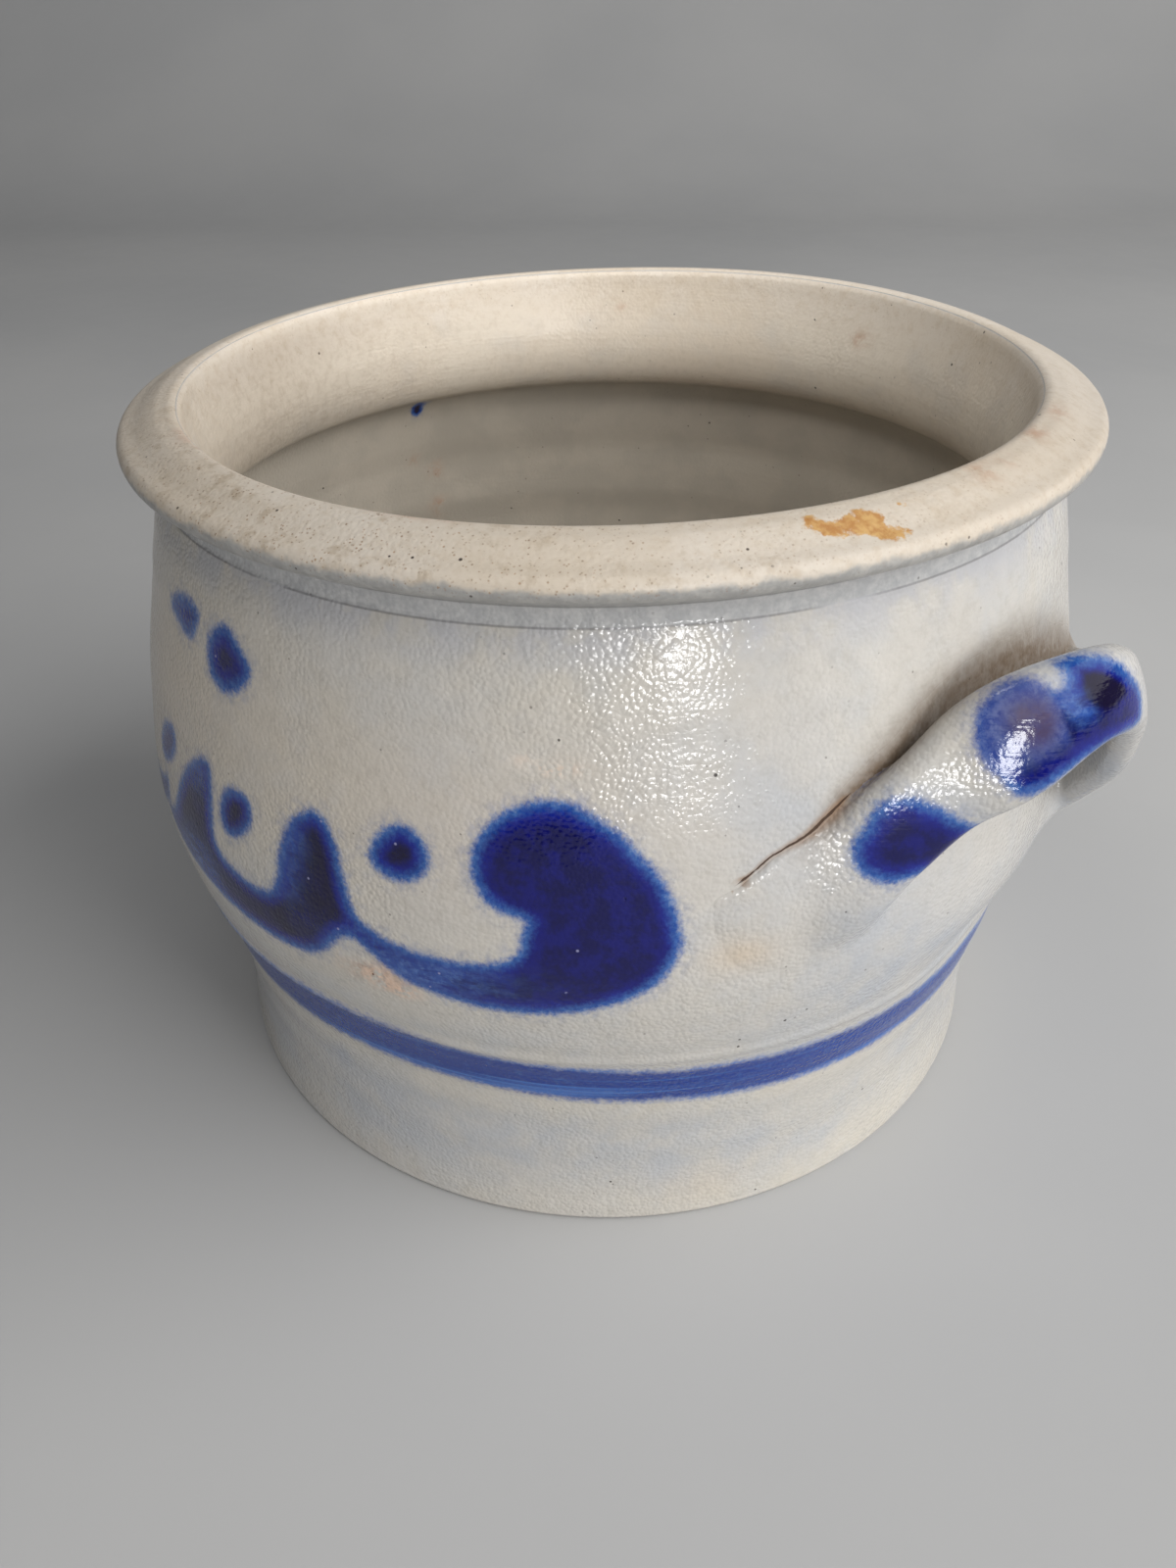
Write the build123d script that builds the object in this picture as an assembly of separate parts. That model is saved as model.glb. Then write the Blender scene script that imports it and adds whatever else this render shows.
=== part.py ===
from build123d import *
import math
import os

# Salt-glazed stoneware crock: a thrown body (foot, belly, neck and flanged
# rim in one piece) with two pulled strap ears luted to the shoulder.
# Millimetres. +Z up, origin at the centre of the foot's underside,
# +X through the middle of the right ear.

# ---------------------------------------------------------------- dimensions
foot_r = 104.0            # radius of the standing foot
foot_edge = 1.6           # rounding of the foot's bottom edge
height = 172.0            # foot to highest point of the rim
rim_r = 107.6             # outermost radius of the rim's bead
bead_r = 2.8              # rounding of the rim's bead
bead_z = 165.4            # height of the bead's middle
crest_r = 2.4             # rounding of the rim's crest
crest_x = 95.7            # radius of the crest's middle
throat_r = 94.4           # inner radius at the throat, the narrowest place
throat_z = 139.5          # height of the throat
floor_t = 9.0             # thickness of the floor
corner_r = 13.0           # inner rounding between floor and wall

# outer wall, (radius, height), foot to neck
outer_wall = [
    (104.0, 1.6), (103.4, 10.4), (103.2, 22.9), (103.8, 33.3), (105.7, 43.7),
    (108.9, 57.2), (113.5, 74.9), (113.8, 93.6), (111.0, 112.3),
    (107.3, 129.0), (103.9, 143.5), (101.3, 153.0),
]
# inner wall, (radius, height), from just under the throat down to the floor
inner_wall = [
    (98.2, 134.2), (101.6, 124.0), (104.6, 110.0), (106.2, 93.0),
    (105.4, 75.0), (101.0, 56.0), (96.6, 38.0), (95.0, 22.0),
]

# one ear: stations along the strap, each with the outer face's upper and
# lower edge as (azimuth from the ear's middle in degrees, radius, height)
# and the strap's thickness
ear_stations = [
    ((-34.0, 103.0, 107.0), (-27.0, 107.0, 83.0), 6.4),
    ((-28.0, 108.2, 113.5), (-24.5, 111.8, 87.0), 6.8),
    ((-22.5, 112.4, 122.5), (-21.0, 117.4, 94.5), 7.2),
    ((-17.5, 114.6, 131.0), (-17.5, 119.2, 104.0), 7.6),
    ((-13.3, 117.0, 139.0), (-14.5, 121.4, 111.8), 7.6),
    ((-9.5, 121.2, 144.4), (-10.0, 126.6, 121.2), 7.4),
    ((-4.5, 125.9, 146.2), (-5.0, 131.6, 129.0), 7.2),
    ((0.0, 127.0, 143.6), (0.0, 132.9, 128.0), 7.2),
    ((4.0, 124.2, 138.6), (5.0, 131.2, 121.8), 7.2),
    ((8.5, 120.4, 133.4), (9.0, 128.2, 112.5), 7.4),
    ((13.0, 117.2, 128.8), (13.0, 124.8, 102.6), 7.6),
    ((18.0, 114.4, 124.0), (16.5, 121.6, 93.5), 7.4),
    ((23.0, 112.0, 118.5), (20.0, 117.8, 85.5), 7.2),
    ((28.5, 108.2, 113.5), (24.0, 111.6, 79.0), 6.8),
    ((34.0, 103.0, 109.0), (28.0, 106.4, 75.0), 6.4),
]
ear_crown = 0.5           # crowning of the strap's outer face
ear_round = 0.45          # rounding of the strap's edges, share of thickness


def arc(centre, radius, a0, a1):
    """Arc in the half-section plane from angle a0 to a1, in degrees."""
    cx, cz = centre

    def at(a):
        a = math.radians(a)
        return (cx + radius * math.cos(a), cz + radius * math.sin(a))

    return ThreePointArc(at(a0), at((a0 + a1) / 2), at(a1)), at(a0), at(a1)


# ----------------------------------------------------------- the thrown body
bead_c = (rim_r - bead_r, bead_z)
crest_c = (crest_x, height - crest_r)
# angle of the rim's sloping top, tangent to both roundings
dx, dz = bead_c[0] - crest_c[0], bead_c[1] - crest_c[1]
dist = math.hypot(dx, dz)
slope = math.degrees(math.atan2(dz, dx))
tilt = math.degrees(math.asin((crest_r - bead_r) / dist))
top_a = 90 + slope + tilt


def half_section():
    with BuildLine() as line:
        _, b0, b1 = None, None, None
        # underside and foot edge
        Line((0, 0), (foot_r - foot_edge, 0))
        ThreePointArc((foot_r - foot_edge, 0),
                      (foot_r - foot_edge + foot_edge * math.sin(math.pi / 4),
                       foot_edge - foot_edge * math.cos(math.pi / 4)),
                      (foot_r, foot_edge))
        # outer wall
        Spline(*outer_wall, tangents=[(0, 1), (-0.28, 1)])
        # turned step, recessed neck and the rim's underside
        x0, z0 = outer_wall[-1]
        Polyline((x0, z0), (x0 - 0.9, z0 + 1.2))
        e, b0, b1 = arc(bead_c, bead_r, -100, top_a)
        Spline((x0 - 0.9, z0 + 1.2), (x0 - 0.9, z0 + 5.4), b0,
               tangents=[(-0.2, 1), (1.0, 0.16)])
        # sloping top and crest
        e, c0, c1 = arc(crest_c, crest_r, top_a, 180)
        Line(b1, c0)
        # inside of the neck down to the throat
        Spline(c1, (93.2, 158.0), (93.6, 147.0), (throat_r, throat_z),
               (96.0, throat_z - 3.6), inner_wall[0],
               tangents=[(0, -1), (0.62, -0.78)])
        # belly inside, to the corner
        Spline(*inner_wall, tangents=[(0.45, -0.9), (0, -1)])
        xi = inner_wall[-1][0]
        zi = inner_wall[-1][1]
        ThreePointArc((xi, zi),
                      (xi - corner_r + corner_r * math.cos(math.pi / 4),
                       floor_t + corner_r - corner_r * math.sin(math.pi / 4)),
                      (xi - corner_r, floor_t))
        Line((xi - corner_r, floor_t), (0, floor_t))
        Line((0, floor_t), (0, 0))
    return line


line = half_section()
with BuildSketch(Plane.XZ) as sk:
    with BuildLine(Plane.XZ):
        add(line.line)
    make_face()
body = revolve(sk.sketch, axis=Axis.Z, revolution_arc=360)


# the plug that the wall encloses, used to trim the ears to the outer wall
def outer_plug():
    with BuildLine(Plane.XZ) as pl:
        Spline(*outer_wall, tangents=[(0, 1), (-0.28, 1)])
        x0, z0 = outer_wall[-1]
        Polyline((x0, z0), (0, z0), (0, outer_wall[0][1]), outer_wall[0])
    with BuildSketch(Plane.XZ) as ps:
        with BuildLine(Plane.XZ):
            add(pl.line)
        make_face()
    return revolve(ps.sketch, axis=Axis.Z, revolution_arc=360)


plug = outer_plug()


# ------------------------------------------------------------------ the ears
def polar(az, r, z):
    a = math.radians(az)
    return Vector(r * math.cos(a), r * math.sin(a), z)


def station(i):
    up, low, t = ear_stations[i]
    return polar(*up), polar(*low), t


def section(i):
    """Strap section: crowned outer face, flat inner face, round edges."""
    up, low, t = station(i)
    pu, plo, _ = station(max(i - 1, 0))
    nu, nlo, _ = station(min(i + 1, len(ear_stations) - 1))
    run = ((nu + nlo) - (pu + plo)).normalized()
    mid = (up + low) * 0.5
    wide = up - low
    half = wide.length / 2
    wide = wide.normalized()
    inward = wide.cross(run).normalized()
    if inward.dot(Vector(mid.X, mid.Y, 0)) > 0:
        inward = inward * -1
    c = mid + inward * (t / 2)
    e = half - t * ear_round
    out_top = c + wide * e - inward * (t / 2)
    out_low = c - wide * e - inward * (t / 2)
    in_top = c + wide * e + inward * (t / 2)
    in_low = c - wide * e + inward * (t / 2)
    return Wire([
        Edge.make_three_point_arc(out_top, c - inward * (t / 2 + ear_crown),
                                  out_low),
        Edge.make_three_point_arc(out_low, c - wide * half, in_low),
        Edge.make_three_point_arc(in_low, c + inward * (t / 2 + 0.15),
                                  in_top),
        Edge.make_three_point_arc(in_top, c + wide * half, out_top),
    ])


ear_raw = Solid.make_loft([section(i) for i in range(len(ear_stations))])
ears = (ear_raw - plug).solids()
ear = max(ears, key=lambda s: s.volume)

handle_right = ear
handle_left = ear.rotate(Axis.Z, 180)

os.makedirs("parts", exist_ok=True)
export_step(body, "parts/crock_body.step")
export_step(handle_right, "parts/handle_right.step")
export_step(handle_left, "parts/handle_left.step")

for name, s in (("crock_body", body), ("handle_right", handle_right),
                ("handle_left", handle_left)):
    bb = s.bounding_box()
    print(name, "volume cm3 %.1f" % (s.volume / 1000),
          "box", [round(v, 1) for v in (bb.min.X, bb.min.Y, bb.min.Z,
                                        bb.max.X, bb.max.Y, bb.max.Z)],
          "valid", s.is_valid)
print("ear solids", len(ears), "raw volume", round(ear_raw.volume / 1000, 1))
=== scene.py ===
"""Looks of a hand-thrown, salt-glazed stoneware crock with strap ears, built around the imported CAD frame.

All lengths are in metres in the row frame unless a name ends in _mm. Azimuth is about +Z from +X.
"""
import math

import bpy
import numpy as np
from mathutils import Matrix, Vector

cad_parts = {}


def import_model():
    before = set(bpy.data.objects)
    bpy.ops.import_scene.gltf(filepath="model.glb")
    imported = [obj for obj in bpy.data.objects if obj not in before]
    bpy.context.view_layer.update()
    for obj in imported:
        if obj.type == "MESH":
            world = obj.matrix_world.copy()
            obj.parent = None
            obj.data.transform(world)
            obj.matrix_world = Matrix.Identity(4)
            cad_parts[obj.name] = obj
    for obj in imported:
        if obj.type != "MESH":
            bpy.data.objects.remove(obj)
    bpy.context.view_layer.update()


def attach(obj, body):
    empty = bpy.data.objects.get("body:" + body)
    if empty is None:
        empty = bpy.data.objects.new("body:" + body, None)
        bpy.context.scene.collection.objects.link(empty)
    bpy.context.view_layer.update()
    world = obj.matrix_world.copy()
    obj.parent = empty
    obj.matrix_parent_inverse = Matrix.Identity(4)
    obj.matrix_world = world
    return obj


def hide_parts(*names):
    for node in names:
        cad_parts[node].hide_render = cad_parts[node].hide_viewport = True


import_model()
rng = np.random.default_rng(7)

# ---------------------------------------------------------------- the potter's hand
# The rim leans and is slightly oval, as on the thrown pot. This maps a true solid of revolution to that.
UNIT = 104.0                      # foot radius, mm
TURN = math.radians(43.0)         # from the frame of the lean to the row frame
LEAN_X, LEAN_Y = -0.0039, -0.0019
TILT_X, TILT_Y = 0.0222, 0.0062
OVAL_C, OVAL_S = -0.0002, -0.0139


def settle(az, r, z):
    """Azimuth (radians), radius and height (mm) of the ideal pot to x, y, z in mm on the leaning one."""
    a = az - TURN
    w = np.clip(z / UNIT / 1.5, 0, 1.1)
    rr = r * (1 + w * (OVAL_C * np.cos(2 * a) + OVAL_S * np.sin(2 * a)))
    x, y = rr * np.cos(a), rr * np.sin(a)
    z2 = z + w * (TILT_X * x + TILT_Y * y)
    x, y = x + LEAN_X * z2, y + LEAN_Y * z2
    c, s = math.cos(TURN), math.sin(TURN)
    return np.stack([c * x - s * y, s * x + c * y, z2], -1)


def unsettle(p):
    """The inverse: points (mm) to azimuth, radius and height on the ideal pot."""
    c, s = math.cos(TURN), math.sin(TURN)
    x, y, z2 = c * p[..., 0] + s * p[..., 1], -s * p[..., 0] + c * p[..., 1], p[..., 2]
    x, y = x - LEAN_X * z2, y - LEAN_Y * z2
    z = z2
    for _ in range(4):
        z = z2 - np.clip(z / UNIT / 1.5, 0, 1.1) * (TILT_X * x + TILT_Y * y)
    a = np.arctan2(y, x)
    w = np.clip(z / UNIT / 1.5, 0, 1.1)
    r = np.hypot(x, y) / (1 + w * (OVAL_C * np.cos(2 * a) + OVAL_S * np.sin(2 * a)))
    return a + TURN, r, z


# ---------------------------------------------------------------- small numeric helpers
def spline(xs, ys):
    """Natural cubic spline through the points, as a function."""
    xs, ys = np.asarray(xs, float), np.asarray(ys, float)
    n = len(xs)
    h = np.diff(xs)
    a = np.zeros((n, n)); b = np.zeros((n,) + ys.shape[1:])
    a[0, 0] = a[-1, -1] = 1
    for i in range(1, n - 1):
        a[i, i - 1], a[i, i], a[i, i + 1] = h[i - 1], 2 * (h[i - 1] + h[i]), h[i]
        b[i] = 6 * ((ys[i + 1] - ys[i]) / h[i] - (ys[i] - ys[i - 1]) / h[i - 1])
    m = np.linalg.solve(a, b)

    def f(q):
        q = np.asarray(q, float)
        i = np.clip(np.searchsorted(xs, q, side="right") - 1, 0, n - 2)
        t = q - xs[i]
        hh = h[i]
        if ys.ndim > 1:
            t, hh = t[..., None], hh[..., None]
        return (m[i] * (hh - t) ** 3 + m[i + 1] * t ** 3) / (6 * hh) + (ys[i] / hh - m[i] * hh / 6) * (hh - t) + (ys[i + 1] / hh - m[i + 1] * hh / 6) * t
    return f


def smooth(a, b, t):
    t = np.clip((t - a) / (b - a), 0, 1)
    return t * t * (3 - 2 * t)


def closed_curve(points, per=8):
    """Closed Catmull-Rom curve through the points."""
    p = np.asarray(points, float)
    out = []
    for i in range(len(p)):
        p0, p1, p2, p3 = p[i - 1], p[i], p[(i + 1) % len(p)], p[(i + 2) % len(p)]
        t = np.linspace(0, 1, per, endpoint=False)[:, None]
        out.append(0.5 * (2 * p1 + (p2 - p0) * t + (2 * p0 - 5 * p1 + 4 * p2 - p3) * t ** 2 + (3 * p1 - p0 - 3 * p2 + p3) * t ** 3))
    return np.concatenate(out)


def signed_distance(points, loop):
    """Distance of 2-D points to a closed loop, positive inside."""
    a, b = loop, np.roll(loop, -1, 0)
    best = np.full(len(points), 1e9)
    inside = np.zeros(len(points), bool)
    for p, q in zip(a, b):
        d = q - p
        t = np.clip(((points - p) @ d) / max(d @ d, 1e-12), 0, 1)
        best = np.minimum(best, np.hypot(*(points - p - t[:, None] * d).T))
        crosses = (p[1] > points[:, 1]) != (q[1] > points[:, 1])
        if q[1] != p[1]:
            inside ^= crosses & (points[:, 0] < (q[0] - p[0]) * (points[:, 1] - p[1]) / (q[1] - p[1]) + p[0])
    return np.where(inside, best, -best)


def waves(az, z, seed, terms, low, high, z_scale):
    """A smooth seamless low-frequency field of azimuth and height, about -1..1."""
    r = np.random.default_rng(seed)
    out = 0.0
    for _ in range(terms):
        k = int(r.integers(low, high + 1))
        out = out + np.cos(k * az + r.uniform(0, 6.28) + (z / z_scale) * r.uniform(-6, 6))
    return out / math.sqrt(terms / 2) / 1.6


# ---------------------------------------------------------------- the thrown wall
WALL_Z = np.array([0, .10, .22, .32, .42, .55, .72, .90, 1.08, 1.24, 1.38, 1.50]) * UNIT
WALL_R = np.array([1, .9938, .9921, .9979, 1.016, 1.0469, 1.0923, 1.0942, 1.0673, 1.0319, .9986, .9621]) * UNIT
wall = spline(WALL_Z, WALL_R)
STEP_Z = 154.2                    # the turned line below the collar


def rings(z):
    """Turning marks on the outside, mm."""
    out = 0.45 * np.exp(-((z - 60.6) / 1.3) ** 2) - 0.25 * np.exp(-((z - 57.2) / 1.8) ** 2)
    out = out + 0.10 * np.sin(z / 1.75 + 0.8 * np.sin(z / 9.0)) * smooth(8, 25, z) * (1 - smooth(60, 85, z))
    out = out + 0.06 * np.sin(z / 1.45) * smooth(120, 140, z)
    return out + 0.12 * np.sin(z / 4.6 + 1.0)


def outer_r(az, z):
    """Radius of the outside below the collar, mm."""
    zc = np.clip(z, 0, 156)
    return wall(zc) + rings(zc) * smooth(0.5, 6, zc) + 0.28 * waves(az, z, 3, 7, 2, 7, 60.0) * smooth(2, 30, zc) - hollow(az, zc)


def hollow(az, z):
    """The shallow hollow pressed into the wall under each ear, mm."""
    deg = np.degrees((az - math.radians(6.0) + math.pi / 2) % math.pi - math.pi / 2)
    return 2.9 * np.exp(-(deg / 13.0) ** 2 - np.where(z > 65.0, ((z - 65.0) / 7.5) ** 2, ((z - 65.0) / 12.5) ** 2))


def arc(cx, cz, rad, a0, a1, n):
    a = np.radians(np.linspace(a0, a1, n))
    return [(cx + rad * math.cos(v), cz + rad * math.sin(v)) for v in a]


def resample(points, spacing):
    """Points along a polyline (r, z), spacing(r, z) apart."""
    p = np.asarray(points, float)
    s = np.concatenate([[0], np.cumsum(np.hypot(*np.diff(p, axis=0).T))])
    out, at = [], 0.0
    while at < s[-1] - 1e-6:
        r = np.interp(at, s, p[:, 0]); z = np.interp(at, s, p[:, 1])
        out.append((r, z, at))
        at += spacing(r, z, at)
    out.append((p[-1, 0], p[-1, 1], s[-1]))
    return np.array(out)


bead_r, bead_x, bead_z = 2.75, 104.8, 163.6
crest_r, crest_x, crest_z = 2.35, 95.6, 167.5
profile_foot = [(101.6, 0.0)] + arc(102.4, 1.6, 1.6, -80, -5, 7)
profile_wall = [(float(wall(z)), float(z)) for z in np.arange(2.0, 153.6, 0.5)]
profile_neck = [(float(wall(153.6)) - 0.02, 153.75), (float(wall(153.6)) - 0.12, 154.05), (100.52, 154.3), (100.38, 154.7), (100.3, 156.0), (100.34, 157.4), (100.5, 157.95), (101.1, 158.45),
                (102.3, 159.35), (103.7, 160.4)]
profile_bead = arc(bead_x, bead_z, bead_r, -68, 58, 16)
profile_top = [(103.6, 166.9), (101.0, 168.3), (98.6, 169.35)] + arc(crest_x, crest_z, crest_r, 62, 172, 12)
profile_in = [(93.1, 165.8), (92.45, 163.0), (91.75, 160.0), (91.1, 157.0), (90.55, 154.0), (90.2, 151.0), (90.3, 147.5), (90.9, 144.0), (92.0, 141.0), (93.3, 138.9), (94.6, 137.6), (96.3, 136.9), (98.2, 136.3), (100.0, 134.6), (101.3, 131.0),
              (102.4, 123.0), (104.6, 110.0), (106.0, 93.0), (105.3, 75.0), (101.0, 56.0), (96.9, 38.0), (95.2, 25.0)] + arc(82.0, 22.0, 13.2, 2, -88, 14)


def fair(points, step=0.35, passes=3):
    """Evens out a listed polyline."""
    p = resample(points, lambda r, z, s: step)[:, :2]
    for _ in range(passes):
        p[1:-1] = (p[:-2] + 2 * p[1:-1] + p[2:]) / 4
    return [tuple(q) for q in p]


rim_points = fair(profile_neck, 0.15, 2) + fair(profile_bead + profile_top, 0.3, 5)
inner_points = spline(np.arange(len(profile_in)), profile_in)(np.linspace(0, len(profile_in) - 1, 600))
wall_rows = resample(profile_foot + profile_wall, lambda r, z, s: 0.55 if s < 4 else (1.0 if 52 < z < 64 else 1.7))
rim_rows = resample(rim_points, lambda r, z, s: 0.34 if z < 158.6 else 0.72)
inner_rows = resample(fair([rim_points[-1]] + [tuple(q) for q in inner_points], 0.5, 3), lambda r, z, s: 1.6 if z > 128 else (3.2 if z > 30 else 3.0))
wall_len, rim_len, inner_len = wall_rows[-1, 2], rim_rows[-1, 2], inner_rows[-1, 2]

ROUND = 384


def body_mesh():
    rows = []                                    # (r, z, kind, arc length inside its strip)
    for r, z, s in wall_rows:
        rows.append((r, z, 0, s))
    for r, z, s in rim_rows[1:] if np.hypot(*(rim_rows[0, :2] - wall_rows[-1, :2])) < 0.3 else rim_rows:
        rows.append((r, z, 1, s))
    for r, z, s in inner_rows[1:]:
        rows.append((r, z, 2, s))
    rows = np.array(rows)
    az = (np.arange(ROUND) / ROUND) * 2 * math.pi + math.radians(133.0)      # the seam is behind
    A, R = np.meshgrid(az, rows[:, 0])
    Z = np.repeat(rows[:, 1][:, None], ROUND, 1)
    kind = np.repeat(rows[:, 2][:, None], ROUND, 1)
    out = kind == 0
    R = np.where(out, R - wall(np.clip(Z, 0, 156)) + outer_r(A, Z), R)
    low = waves(A, Z, 3, 7, 2, 7, 60.0)
    R = np.where(kind == 1, R + 0.28 * low * (1 - smooth(156, 162, Z)), R)
    Z = np.where(kind == 1, Z + 0.35 * waves(A, Z * 0, 11, 6, 2, 5, 60.0) * smooth(156, 165, Z), Z)
    R = np.where(kind == 2, R + finger_ridges(A, Z), R)
    grid = settle(A, R, Z)
    n_rows = len(rows)
    co = [grid.reshape(-1, 3)]
    faces = []
    uv = []
    # strips in the map: outside and collar wide, then rim and inside; two round patches for the floor and the foot
    s_of = rows[:, 3]
    v_of = np.where(rows[:, 2] == 0, 0.004 + 0.406 * s_of / wall_len, np.where(rows[:, 2] == 1, 0.410 + 0.135 * s_of / rim_len, 0.545 + 0.190 * s_of / inner_len))
    for i in range(n_rows - 1):
        for j in range(ROUND):
            k = (j + 1) % ROUND
            faces.append((i * ROUND + j, i * ROUND + k, (i + 1) * ROUND + k, (i + 1) * ROUND + j))
            u0, u1 = 0.002 + 0.996 * j / ROUND, 0.002 + 0.996 * (j + 1) / ROUND
            uv += [(u0, v_of[i]), (u1, v_of[i]), (u1, v_of[i + 1]), (u0, v_of[i + 1])]
    # floor inside and underside of the foot
    base = n_rows * ROUND
    count = base

    def disc(edge_row, radii, z_of, centre_uv, scale):
        nonlocal count
        ring0 = np.arange(ROUND) + edge_row * ROUND
        last, prev_r = ring0, rows[edge_row, 0]
        for r in radii:
            a = az
            zz = z_of(r, a)
            p = settle(a, np.full(ROUND, r), zz)
            co.append(p)
            ring = np.arange(ROUND) + count
            count += ROUND
            for j in range(ROUND):
                k = (j + 1) % ROUND
                faces.append((last[j], last[k], ring[k], ring[j]))
                pts = [(prev_r, a[j]), (prev_r, a[k]), (r, a[k]), (r, a[j])]
                uv.extend([(centre_uv[0] + scale * q * math.cos(b), centre_uv[1] + scale * q * math.sin(b)) for q, b in pts])
            last, prev_r = ring, r
        co.append(settle(np.array([0.0]), np.array([0.0]), np.array([float(np.mean(z_of(0.0, az)))])))
        c = count
        count += 1
        for j in range(ROUND):
            k = (j + 1) % ROUND
            faces.append((last[j], last[k], c))
            uv.extend([(centre_uv[0] + scale * prev_r * math.cos(az[j]), centre_uv[1] + scale * prev_r * math.sin(az[j])),
                       (centre_uv[0] + scale * prev_r * math.cos(az[k]), centre_uv[1] + scale * prev_r * math.sin(az[k])), centre_uv])

    floor_r = rows[-1, 0]
    floor_z = rows[-1, 1]
    disc(n_rows - 1, np.linspace(floor_r, 4, 22)[1:], lambda r, a: floor_z + 0.22 * np.sin(r / 1.5 + a) * smooth(2, 14, r) * (1 - smooth(floor_r - 8, floor_r, r)) + 0 * a,
         (0.14, 0.868), 0.126 / 90.0)
    n_before = len(faces)
    disc(0, np.linspace(rows[0, 0], 6, 14)[1:], lambda r, a: 0.30 * smooth(101, 92, r) + 0 * a, (0.42, 0.868), 0.126 / 104.0)
    # the underside's faces wind the other way round
    under = [tuple(reversed(f)) for f in faces[n_before:]]
    at = sum(len(f) for f in faces[:n_before])
    fixed = []
    for f in faces[n_before:]:
        fixed += list(reversed(uv[at:at + len(f)]))
        at += len(f)
    keep = sum(len(f) for f in faces[:n_before])
    faces[n_before:] = under
    uv[keep:] = fixed
    co = np.concatenate(co)
    return co, faces, np.array(uv)


def finger_ridges(A, Z):
    """Finger ridges inside, as closed rings that wander a little, mm."""
    r = 0.12 * np.sin(Z / 1.62 + 0.9 * waves(A, Z, 5, 5, 1, 3, 40.0)) * (1 - smooth(118, 128, Z)) * smooth(20, 34, Z)
    r = r + 0.42 * np.sin(Z / 4.4 + 0.7 * waves(A, Z, 8, 5, 1, 3, 40.0)) * (1 - smooth(116, 128, Z)) * smooth(20, 34, Z)
    return r + 0.035 * np.sin(Z / 0.95 + 0.4 * waves(A, Z, 9, 4, 1, 3, 40.0)) * smooth(143, 147, Z) * (1 - smooth(158, 163, Z))


# ---------------------------------------------------------------- brushwork outlines: (azimuth in degrees, height in mm)
BEAN = [(-54.3, 100.3), (-56.4, 101.5), (-57.7, 103.0), (-58.7, 105.2), (-59.3, 108.0), (-59.5, 111.5), (-59.1, 115.2), (-58.2, 118.5), (-56.9, 121.2), (-55.2, 123.2),
        (-53.2, 124.6), (-51.0, 124.9), (-49.0, 123.8), (-46.9, 121.5), (-44.9, 118.2), (-43.4, 114.8), (-42.0, 111.4), (-40.9, 107.5), (-40.1, 103.0), (-39.7, 98.8), (-39.7, 95.0),
        (-40.3, 91.4), (-41.3, 88.0), (-42.9, 84.8), (-45.0, 82.2), (-47.5, 80.2), (-50.2, 78.7), (-53.0, 77.8), (-56.0, 77.4), (-59.0, 77.6), (-62.0, 78.4), (-65.0, 79.8),
        (-67.3, 81.5), (-69.2, 83.9), (-70.8, 86.2), (-72.4, 88.0), (-74.5, 90.0), (-75.0, 93.0), (-73.6, 96.2), (-72.4, 95.0), (-70.5, 92.6), (-68.4, 91.0), (-66.0, 90.1), (-63.0, 89.6), (-60.2, 89.7), (-58.0, 90.4),
        (-56.4, 91.5), (-55.3, 93.2), (-54.9, 95.2), (-54.8, 97.6)]
FINGERS = [(-76.8, 114.1), (-75.1, 112.6), (-74.1, 109.0), (-73.5, 105.0), (-73.0, 101.0), (-72.3, 96.4), (-71.4, 92.6), (-72.4, 88.6), (-74.0, 87.0), (-75.0, 84.6), (-76.1, 82.1), (-77.8, 79.5),
           (-80.3, 77.8), (-84.0, 77.0), (-88.0, 77.2), (-93.0, 78.0), (-98.0, 79.2), (-103.0, 81.0), (-107.5, 84.0), (-108.5, 87.2), (-106.2, 88.8), (-104.4, 92.0), (-103.0, 97.0), (-101.2, 102.8), (-99.2, 107.2), (-97.2, 110.2), (-95.3, 112.0),
           (-93.9, 111.4), (-93.5, 107.2), (-93.5, 101.8), (-93.5, 96.6), (-92.9, 93.2), (-91.4, 91.2), (-89.0, 90.2), (-86.5, 89.7), (-84.4, 90.6), (-83.1, 92.5), (-82.4, 96.0), (-82.1, 101.0),
           (-81.3, 106.4), (-80.1, 110.2), (-78.5, 112.9)]
DOT_RIGHT = [(-66.2, 116.6), (-64.8, 115.4), (-63.8, 113.2), (-63.5, 110.3), (-64.0, 107.4), (-65.3, 105.3), (-67.2, 104.4), (-69.0, 105.0), (-70.2, 107.4), (-70.1, 110.6), (-69.1, 113.8), (-67.8, 116.0)]
DOT_MID = [(-88.2, 110.4), (-86.7, 109.6), (-85.9, 106.6), (-86.4, 103.2), (-88.0, 99.6), (-90.2, 97.7), (-91.6, 98.8), (-92.1, 102.4), (-91.5, 106.6), (-90.1, 109.6)]
DOT_LEFT = [(-105.2, 111.4), (-103.7, 111.6), (-102.9, 109.0), (-103.6, 104.8), (-105.6, 101.0), (-108.2, 99.3), (-109.6, 101.4), (-109.0, 105.6), (-107.4, 109.4)]
DROP_A = [(-91.0, 143.2), (-88.6, 141.2), (-86.9, 138.6), (-86.1, 135.8), (-87.1, 132.7), (-89.0, 130.2), (-91.4, 128.8), (-93.6, 130.2), (-94.6, 133.4), (-94.7, 137.4), (-93.4, 141.0)]
DROP_B = [(-96.3, 141.2), (-97.6, 143.0), (-100.2, 143.5), (-103.0, 142.2), (-105.3, 139.7), (-104.6, 137.3), (-102.2, 135.8), (-100.0, 134.5), (-98.2, 135.4), (-97.0, 138.2)]
MIRROR = -89.0
BEAN_LEFT = [(2 * MIRROR - a - 1.5, z + 1.5) for a, z in BEAN if a > -73][::-1]
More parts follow.
